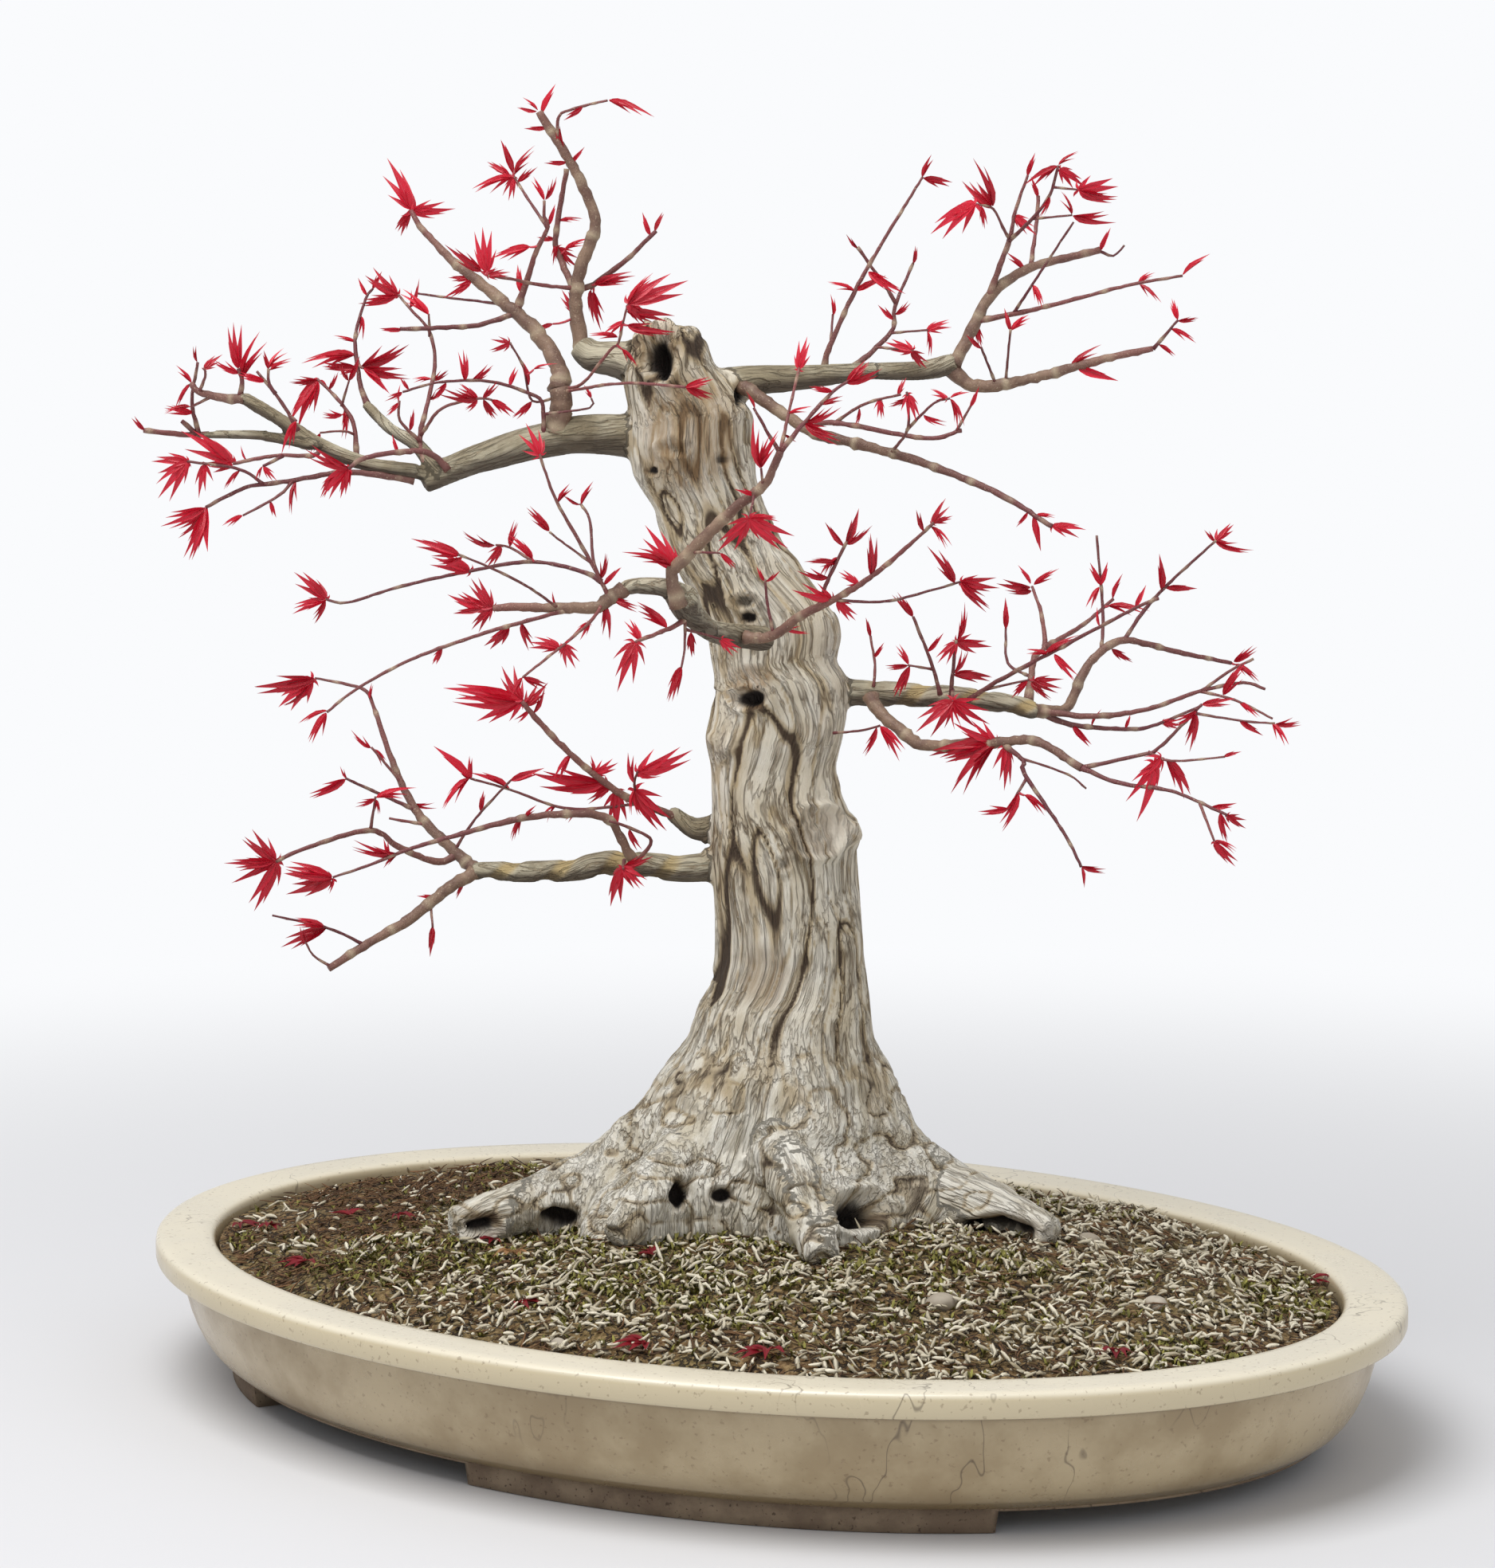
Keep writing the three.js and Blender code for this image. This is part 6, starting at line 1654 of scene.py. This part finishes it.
def glaze_material(lit_rim_glaze, shaded_belly_glaze):
    """Cream glaze, mottled tan where it pools and stains, with brown specks and fine cracks; painted shade
    darkens the belly, the band under the lip and the bottom, and painted light makes the rim top paler.
    """
    material, tree, shader, here = new_material("Cream glaze")
    patches, specks = mottle(tree, here, 22, 520)
    height = add(tree, "ShaderNodeSeparateXYZ", {0: here}).outputs[2]
    # Painted shade: the whole belly below the lip is darkened toward tan, with the real mottled patches in
    # it.
    belly_shade = between(tree, height, 0.0475, 0.044)
    tan = mix(tree, patches, shaded_belly_glaze, colour(160, 140, 106))
    base = mix(tree, belly_shade, colour(204, 190, 158), tan)
    # Painted shade: the bowl darkens toward its bottom, which faces down.
    low = between(tree, height, 0.022, 0.009)
    base = mix(tree, math_node(tree, "MULTIPLY", low, 0.5), base, colour(128, 108, 78))
    # Painted light: the flat top of the rim is made paler, as if lit from above.
    rim = between(tree, height, 0.0535, 0.0556)
    base = mix(tree, math_node(tree, "MULTIPLY", rim, 0.85), base, lit_rim_glaze)
    # Painted shadow: a dark band on the wall just under the overhanging lip.
    lip = math_node(tree, "MULTIPLY", between(tree, height, 0.043, 0.0462),
                    between(tree, height, 0.0475, 0.0466))
    base = mix(tree, math_node(tree, "MULTIPLY", lip, 0.8), base, colour(84, 66, 45))
    inner = add(tree, "ShaderNodeVectorMath", {0: here, 1: (4.396, 6.192, 0)}, operation="MULTIPLY")
    inner = add(tree, "ShaderNodeVectorMath", {0: inner.outputs[0]}, operation="LENGTH").outputs["Value"]
    inside = math_node(tree, "MULTIPLY", between(tree, inner, 1.004, 0.994),
                       between(tree, height, 0.0555, 0.053))
    base = mix(tree, math_node(tree, "MULTIPLY", inside, 0.7), base, colour(120, 102, 72))
    base = mix(tree, math_node(tree, "MULTIPLY", specks, 0.4), base, colour(112, 86, 58))
    drawn = add(tree, "ShaderNodeMapping", {0: here, 3: (26, 26, 9)}).outputs[0]
    line = noise_node(tree, drawn, 1.0, 3, 0.6)
    crack = between(tree, math_node(tree, "ABSOLUTE", math_node(tree, "SUBTRACT", line, 0.5)), 0, 0.006, 1, 0)
    where = between(tree, noise_node(tree, here, 9, 2), 0.56, 0.64)
    crack = math_node(tree, "MULTIPLY", crack, math_node(tree, "MULTIPLY", where, 0.6))
    base = mix(tree, crack, base, colour(70, 53, 38))
    uneven = noise_node(tree, here, 34, 4)
    wire(tree, shader, Base_Color=base, Roughness=between(tree, patches, 0, 1, 0.26, 0.42),
         Normal=bump(tree, uneven, 0.0006, 0.35))
    wire(tree, shader, Coat_Weight=0.25, Coat_Roughness=0.15, IOR=1.5)
    return material


def clay_material():
    """Unglazed clay, brown-grey and rough, with pale dust."""
    material, tree, shader, here = new_material("Raw clay")
    patches, specks = mottle(tree, here, 45, 700)
    base = mix(tree, patches, colour(118, 100, 82), colour(146, 128, 106))
    base = mix(tree, specks, base, colour(84, 68, 54))
    wire(tree, shader, Base_Color=base, Roughness=0.85,
         Normal=bump(tree, noise_node(tree, here, 900, 5), 0.0004, 0.6))
    return material


def bark_material(pale):
    """Pale grey-beige bark with dark cracks edged in ochre and brown fibrous patches; painted shade darkens
    the hollows of the marks and the undersides of the limbs.
    """
    material, tree, shader, here = new_material("Maple bark")
    along = attribute(tree, "grain", True)
    height, cracks = grain(tree, along, 240)
    wide_height, wide_cracks = grain(tree, along, 115)
    patches, _ = mottle(tree, along, 130, 1500)
    broad, _ = mottle(tree, here, 38, 900)
    flare, limb = attribute(tree, "flare"), attribute(tree, "limb")
    crack, dark = attribute(tree, "crack"), attribute(tree, "dark")
    base = mix(tree, patches, pale, colour(204, 192, 168))
    base = mix(tree, math_node(tree, "MULTIPLY", broad, 0.45), base, colour(196, 180, 148))
    aged = mix(tree, broad, colour(150, 138, 112), colour(196, 188, 164))
    base = mix(tree, limb, base, aged)
    root = mix(tree, patches, colour(242, 238, 226), colour(206, 197, 176))
    base = mix(tree, math_node(tree, "MULTIPLY", flare, 0.9), base, root)
    edge = between(tree, crack, 0.02, 0.45)
    base = mix(tree, math_node(tree, "MULTIPLY", edge, 0.6), base, colour(170, 145, 100))
    fine = math_node(tree, "MULTIPLY", cracks, between(tree, broad, 0, 1, 0.2, 0.65))
    base = mix(tree, fine, base, colour(124, 102, 72))
    broken = math_node(tree, "MULTIPLY", wide_cracks, math_node(tree, "MULTIPLY_ADD", patches, 0.6, 0.25))
    calm = math_node(tree, "MULTIPLY_ADD", math_node(tree, "MAXIMUM", limb, flare), -0.65, 1.0)
    base = mix(tree, math_node(tree, "MULTIPLY", broken, calm), base, colour(96, 76, 52))
    base = mix(tree, between(tree, crack, 0.45, 0.95), base, colour(74, 58, 42))
    base = mix(tree, math_node(tree, "MULTIPLY", attribute(tree, "brown"),
                               between(tree, height, 0.2, 0.7, 0.35, 0.95)), base, colour(140, 110, 74))
    base = mix(tree, attribute(tree, "scar"), base, colour(190, 168, 120))
    # Painted shade: the hollows of the trunk marks and the gaps between the roots are made nearly black.
    base = mix(tree, between(tree, dark, 0.1, 0.8), base, colour(38, 30, 24))
    # Painted shade: limbs are darkened where their surface faces down.
    under = add(tree, "ShaderNodeSeparateXYZ",
                {0: add(tree, "ShaderNodeNewGeometry").outputs["Normal"]}).outputs[2]
    shade = math_node(tree, "MULTIPLY", between(tree, under, 0.25, -0.5), limb)
    base = mix(tree, math_node(tree, "MULTIPLY", shade, 0.75), base, colour(70, 56, 48))
    relief = math_node(tree, "MULTIPLY_ADD", wide_height, 1.4, height)
    wire(tree, shader, Base_Color=base, Roughness=0.82, Normal=bump(tree, relief, 0.0011, 0.9))
    return material


def twig_material():
    """Smooth bark: grey-brown on thick twigs, purple-red on thin ones, with pale rings at the nodes."""
    material, tree, shader, here = new_material("Twig bark")
    thick, node, tint = attribute(tree, "thick"), attribute(tree, "node"), attribute(tree, "tint")
    patches, specks = mottle(tree, here, 90, 1300)
    young = mix(tree, tint, colour(98, 40, 48), colour(136, 76, 74))
    young = mix(tree, math_node(tree, "MULTIPLY", patches, 0.5), young, colour(112, 66, 62))
    old = mix(tree, patches, colour(138, 112, 92), colour(104, 76, 64))
    base = mix(tree, between(tree, thick, 0.9, 2.2), young, old)
    base = mix(tree, math_node(tree, "MULTIPLY", node, 0.6), base, colour(196, 180, 150))
    base = mix(tree, math_node(tree, "MULTIPLY", specks, 0.4), base, colour(206, 190, 160))
    height, _ = grain(tree, here, 420)
    wire(tree, shader, Base_Color=base, Roughness=0.55, Normal=bump(tree, height, 0.0003, 0.5))
    return material


def leaf_colours(tree, here, deep, bright, pale):
    """The colour of a blade and the height of its ribs, from its across and along attributes."""
    inputs = {0: attribute(tree, "across"), 1: attribute(tree, "along")}
    veins = use_group(tree, "Veins", make_veins_group, inputs)[0]
    patches, _ = mottle(tree, here, 160, 900)
    base = mix(tree, attribute(tree, "tint"), deep, bright)
    base = mix(tree, math_node(tree, "MULTIPLY", patches, 0.35), base, bright)
    base = mix(tree, math_node(tree, "MULTIPLY", veins, 0.4), base, pale)
    back = add(tree, "ShaderNodeNewGeometry").outputs["Backfacing"]
    return mix(tree, math_node(tree, "MULTIPLY", back, 0.45), base, pale), veins


def blade_material(name, deep, bright, pale, roughness):
    """A thin leaf that lets light through: ribs stand out a little and the underside is paler."""
    material, tree, shader, here = new_material(name)
    base, veins = leaf_colours(tree, here, deep, bright, pale)
    wire(tree, shader, Base_Color=base, Roughness=roughness, Normal=bump(tree, veins, 0.0003, 0.5))
    glow = add(tree, "ShaderNodeBsdfTranslucent", {"Color": base})
    both = add(tree, "ShaderNodeMixShader", {0: 0.3, 1: shader.outputs[0], 2: glow.outputs[0]})
    sink = next(node for node in tree.nodes if node.type == "OUTPUT_MATERIAL")
    tree.links.new(both.outputs[0], sink.inputs["Surface"])
    return material


def soil_material():
    """Brown fibrous soil, olive where moss grows, with pale dead fibres and dark pits."""
    material, tree, shader, here = new_material("Planted soil")
    patches, specks = mottle(tree, here, 26, 420)
    fibres, cracks = grain(tree, here, 170)
    base = mix(tree, patches, colour(104, 76, 44), colour(112, 98, 56))
    base = mix(tree, between(tree, fibres, 0.4, 0.75), base, colour(186, 158, 112))
    base = mix(tree, math_node(tree, "MULTIPLY", cracks, 0.9), base, colour(34, 25, 17))
    base = mix(tree, math_node(tree, "MULTIPLY", specks, 0.8), base, colour(238, 228, 202))
    relief = math_node(tree, "MULTIPLY_ADD", specks, 0.6, fibres)
    wire(tree, shader, Base_Color=base, Roughness=0.95, Normal=bump(tree, relief, 0.002, 0.9))
    return material


def strand_material(name, dark, light, roughness):
    """A small dry or mossy strand, whose shade follows its tint."""
    material, tree, shader, here = new_material(name)
    patches, specks = mottle(tree, here, 300, 1500)
    base = mix(tree, attribute(tree, "tint"), dark, light)
    base = mix(tree, math_node(tree, "MULTIPLY", patches, 0.3), base, dark)
    wire(tree, shader, Base_Color=base, Roughness=roughness, Normal=bump(tree, specks, 0.0002, 0.4))
    return material


FLOOR_RADIUS = 30
FLOOR_SIDES = 96
SENSOR = 36
LAMP_TARGET = (0, 0, 0.25)
KEY_SIZE = 1.2
KEY_PLACE = -AHEAD * 0.5 - RIGHT * 0.5 + UP * 1.7
FILL_SIZE = 1.4
FILL_PLACE = EYE * 0.9 + RIGHT * 1.0 + UP * 0.5
BACKDROP = colour(250, 251, 253)


def shade(name, description, default):
    """A colour that a user can change."""
    return bpy.props.FloatVectorProperty(
        name=name, description=description, default=default, size=4, subtype="COLOR", min=0, max=1)


class BonsaiPotSettings(bpy.types.PropertyGroup):
    # Painted light: this pale colour stands in for the light falling on the rim top.
    lit_rim_glaze: shade("Rim glaze", "Glaze on the flat top of the rim", colour(234, 226, 205))
    # Painted shade: this darker tan stands in for the shade on the downward-facing belly.
    shaded_belly_glaze: shade("Belly glaze", "Glaze on the wall below the lip", colour(186, 168, 134))


class BonsaiWoodSettings(bpy.types.PropertyGroup):
    pale: shade("Pale bark", "Bark between its cracks", colour(232, 226, 211))
    relief: bpy.props.FloatProperty(
        name="Relief", description="Depth of furrows, plates and lumps, 1 as grown", default=1, min=0, max=2)


class BonsaiShootSettings(bpy.types.PropertyGroup):
    deep: shade("Deep leaf", "The darkest leaves", colour(176, 10, 34))
    bright: shade("Bright leaf", "The brightest leaves", colour(226, 34, 62))
    rib: shade("Leaf ribs", "Ribs and undersides of the leaves", colour(238, 120, 132))


class BonsaiGroundSettings(bpy.types.PropertyGroup):
    moss_dark: shade("Dark moss", "The darkest moss", colour(78, 74, 28))
    moss_light: shade("Light moss", "The lightest moss", colour(156, 150, 72))
    strands: bpy.props.IntProperty(
        name="Pale strands", description="Strands of dead sphagnum on the soil", default=5600, min=0)
    fibres: bpy.props.IntProperty(
        name="Brown fibres", description="Root fibres on the bare soil", default=3600, min=0)


class BonsaiStageSettings(bpy.types.PropertyGroup):
    key: bpy.props.FloatProperty(
        name="Key light", description="Power of the large lamp overhead", default=26, min=0, unit="POWER")
    fill: bpy.props.FloatProperty(
        name="Fill light", description="Power of the lamp beside the eye", default=3, min=0, unit="POWER")
    sky: bpy.props.FloatProperty(
        name="Sky", description="Strength of the even white surroundings", default=0.5, min=0)


class BONSAI_OT_pot(bpy.types.Operator):
    """Makes the glazed bowl and its unglazed foot"""

    bl_idname = "bonsai.pot"
    bl_label = "Pot"

    def execute(self, context):
        settings = context.scene.bonsai_pot
        glaze = glaze_material(tuple(settings.lit_rim_glaze), tuple(settings.shaded_belly_glaze))
        finish_piece(make_bowl("glazed_bowl", glaze), "pot_glaze", "pot")
        finish_piece(make_foot("clay_foot", clay_material()), "pot_glaze", "pot")
        return {"FINISHED"}


class BONSAI_OT_soil(bpy.types.Operator):
    """Makes the planted soil"""

    bl_idname = "bonsai.soil"
    bl_label = "Soil"

    def execute(self, context):
        finish_piece(make_soil("planted_soil", soil_material()), "soil_moss", "soil")
        return {"FINISHED"}


class BONSAI_OT_wood(bpy.types.Operator):
    """Makes the furrowed trunk with its roots and limbs"""

    bl_idname = "bonsai.wood"
    bl_label = "Trunk and limbs"

    def execute(self, context):
        settings = context.scene.bonsai_wood
        bark = bark_material(tuple(settings.pale))
        finish_piece(make_wood("furrowed_wood", bark, settings.relief), "bark", "trunk_and_limbs")
        return {"FINISHED"}


class BONSAI_OT_shoots(bpy.types.Operator):
    """Makes every leafy shoot"""

    bl_idname = "bonsai.shoots"
    bl_label = "Shoots"

    def execute(self, context):
        settings = context.scene.bonsai_shoots
        leaf = blade_material("Crimson leaf", tuple(settings.deep), tuple(settings.bright),
                              tuple(settings.rib), 0.36)
        materials = [twig_material(), leaf]
        for seed, (name, shoot) in enumerate(SHOOTS.items()):
            piece = make_shoot(name + "_leaves", shoot, materials, seed)
            finish_piece(piece, "shoot_leaves", name)
        return {"FINISHED"}


class BONSAI_OT_ground(bpy.types.Operator):
    """Strews the soil with moss, strands, fallen leaves and stones"""

    bl_idname = "bonsai.ground"
    bl_label = "Ground cover"

    def execute(self, context):
        settings = context.scene.bonsai_ground
        moss = strand_material("Moss", tuple(settings.moss_dark), tuple(settings.moss_light), 0.8)
        pale = strand_material("Dead sphagnum", colour(132, 116, 82), colour(238, 230, 208), 0.75)
        fibre = strand_material("Root fibre", colour(48, 32, 20), colour(132, 96, 62), 0.85)
        stone = strand_material("Stone", colour(150, 138, 120), colour(196, 186, 170), 0.7)
        red = blade_material("Fallen leaf", colour(120, 14, 30), colour(170, 28, 44),
                             colour(200, 84, 88), 0.5)
        dry = blade_material("Dry leaf", colour(168, 120, 76), colour(196, 152, 106),
                             colour(216, 184, 140), 0.6)
        pieces = [
            make_moss("moss", moss),
            make_strands("dead_sphagnum", pale, settings.strands, 6,
                         lambda x, y: np.clip(0.25 + 1.3 * rise(x, -0.22, 0.1) - brown_share(x, y), 0.06, 1),
                         PALE_LENGTH, PALE_WIDTH, 0.66),
            make_strands("root_fibres", fibre, settings.fibres, 7,
                         lambda x, y: np.clip(0.25 + brown_share(x, y), 0, 1),
                         FIBRE_LENGTH, FIBRE_WIDTH, 0.5),
            make_litter("fallen_leaves", [red, dry]),
            make_pebbles("stones", stone),
        ]
        for piece in pieces:
            finish_piece(piece, "soil_moss")
        return {"FINISHED"}


def make_floor(name, material):
    """A flat round floor."""
    turn = 2 * np.pi * np.arange(FLOOR_SIDES) / FLOOR_SIDES
    edge = FLOOR_RADIUS * np.stack([np.cos(turn), np.sin(turn), np.zeros(FLOOR_SIDES)], axis=-1)
    bag = Bag()
    bag.put(edge, [np.arange(FLOOR_SIDES)[None]])
    return bag.make(name, [material])


def floor_material():
    """Pale and matt about the pot, glowing white farther out so that it has no horizon."""
    material, tree, shader, here = new_material("Floor")
    wire(tree, shader, Base_Color=colour(222, 222, 224), Roughness=0.8)
    away = add(tree, "ShaderNodeVectorMath", {0: here}, operation="LENGTH").outputs["Value"]
    glow = add(tree, "ShaderNodeEmission", {"Color": BACKDROP, "Strength": 1.0})
    both = add(tree, "ShaderNodeMixShader",
               {0: between(tree, away, 0.3, 1.1), 1: shader.outputs[0], 2: glow.outputs[0]})
    sink = next(node for node in tree.nodes if node.type == "OUTPUT_MATERIAL")
    tree.links.new(both.outputs[0], sink.inputs["Surface"])
    return material


def studio_world(strength):
    """Even surroundings that light softly and are seen as a white backdrop."""
    world = bpy.data.worlds.new("Studio")
    world.use_nodes = True
    tree = world.node_tree
    tree.nodes.clear()
    lit = add(tree, "ShaderNodeBackground", {"Color": BACKDROP, "Strength": strength})
    seen = add(tree, "ShaderNodeBackground", {"Color": BACKDROP, "Strength": 1.0})
    camera = add(tree, "ShaderNodeLightPath").outputs["Is Camera Ray"]
    both = add(tree, "ShaderNodeMixShader", {0: camera, 1: lit.outputs[0], 2: seen.outputs[0]})
    add(tree, "ShaderNodeOutputWorld", {"Surface": both.outputs[0]})
    return world


def lamp(name, power, size, place_at):
    """A square lamp of a size at a place, turned toward the middle of the tree."""
    data = bpy.data.lights.new(name, "AREA")
    data.energy, data.size = power, size
    piece = link(name, data)
    piece.location = place_at
    toward = np.array(LAMP_TARGET) - np.array(place_at)
    piece.rotation_euler = Vector(toward).to_track_quat("-Z", "Y").to_euler()
    return piece


class BONSAI_OT_stage(bpy.types.Operator):
    """Sets the camera where the photographer stood, with a pale floor and soft studio light"""

    bl_idname = "bonsai.stage"
    bl_label = "Camera and stage"

    def execute(self, context):
        scene, settings = context.scene, context.scene.bonsai_stage
        data = bpy.data.cameras.new("Camera")
        data.sensor_fit, data.sensor_width, data.sensor_height = "VERTICAL", SENSOR, SENSOR
        data.lens = SHEET_DISTANCE / SHEET_HEIGHT * SENSOR
        camera = link("Camera", data)
        camera.location = EYE
        camera.rotation_euler = (math.pi / 2 - SIGHT_PITCH, 0, SIGHT_TURN)
        scene.camera = camera
        make_floor("floor", floor_material())
        scene.world = studio_world(settings.sky)
        lamp("Key", settings.key, KEY_SIZE, tuple(KEY_PLACE))
        lamp("Fill", settings.fill, FILL_SIZE, tuple(FILL_PLACE))
        scene.view_settings.view_transform = "Standard"
        return {"FINISHED"}


class BONSAI_PT_panel(bpy.types.Panel):
    bl_label = "Bonsai"
    bl_idname = "BONSAI_PT_panel"
    bl_space_type = "VIEW_3D"
    bl_region_type = "UI"
    bl_category = "Bonsai"

    def draw(self, context):
        column = self.layout.column(align=True)
        for operator in OPERATORS:
            column.operator(operator.bl_idname)
        for group_name in SETTINGS:
            settings = getattr(context.scene, group_name)
            for name in settings.__annotations__:
                column.prop(settings, name)


OPERATORS = (BONSAI_OT_pot, BONSAI_OT_soil, BONSAI_OT_wood, BONSAI_OT_shoots, BONSAI_OT_ground,
             BONSAI_OT_stage)
SETTINGS = {
    "bonsai_pot": BonsaiPotSettings, "bonsai_wood": BonsaiWoodSettings, "bonsai_shoots": BonsaiShootSettings,
    "bonsai_ground": BonsaiGroundSettings, "bonsai_stage": BonsaiStageSettings,
}
CLASSES = (*SETTINGS.values(), *OPERATORS, BONSAI_PT_panel)


def register():
    for item in CLASSES:
        bpy.utils.register_class(item)
    for name, kind in SETTINGS.items():
        setattr(bpy.types.Scene, name, bpy.props.PointerProperty(type=kind))


def unregister():
    for name in SETTINGS:
        delattr(bpy.types.Scene, name)
    for item in reversed(CLASSES):
        bpy.utils.unregister_class(item)


def main():
    register()
    bpy.ops.bonsai.stage()
    bpy.ops.bonsai.pot()
    bpy.ops.bonsai.soil()
    bpy.ops.bonsai.wood()
    bpy.ops.bonsai.shoots()
    bpy.ops.bonsai.ground()


if __name__ == "__main__":
    main()
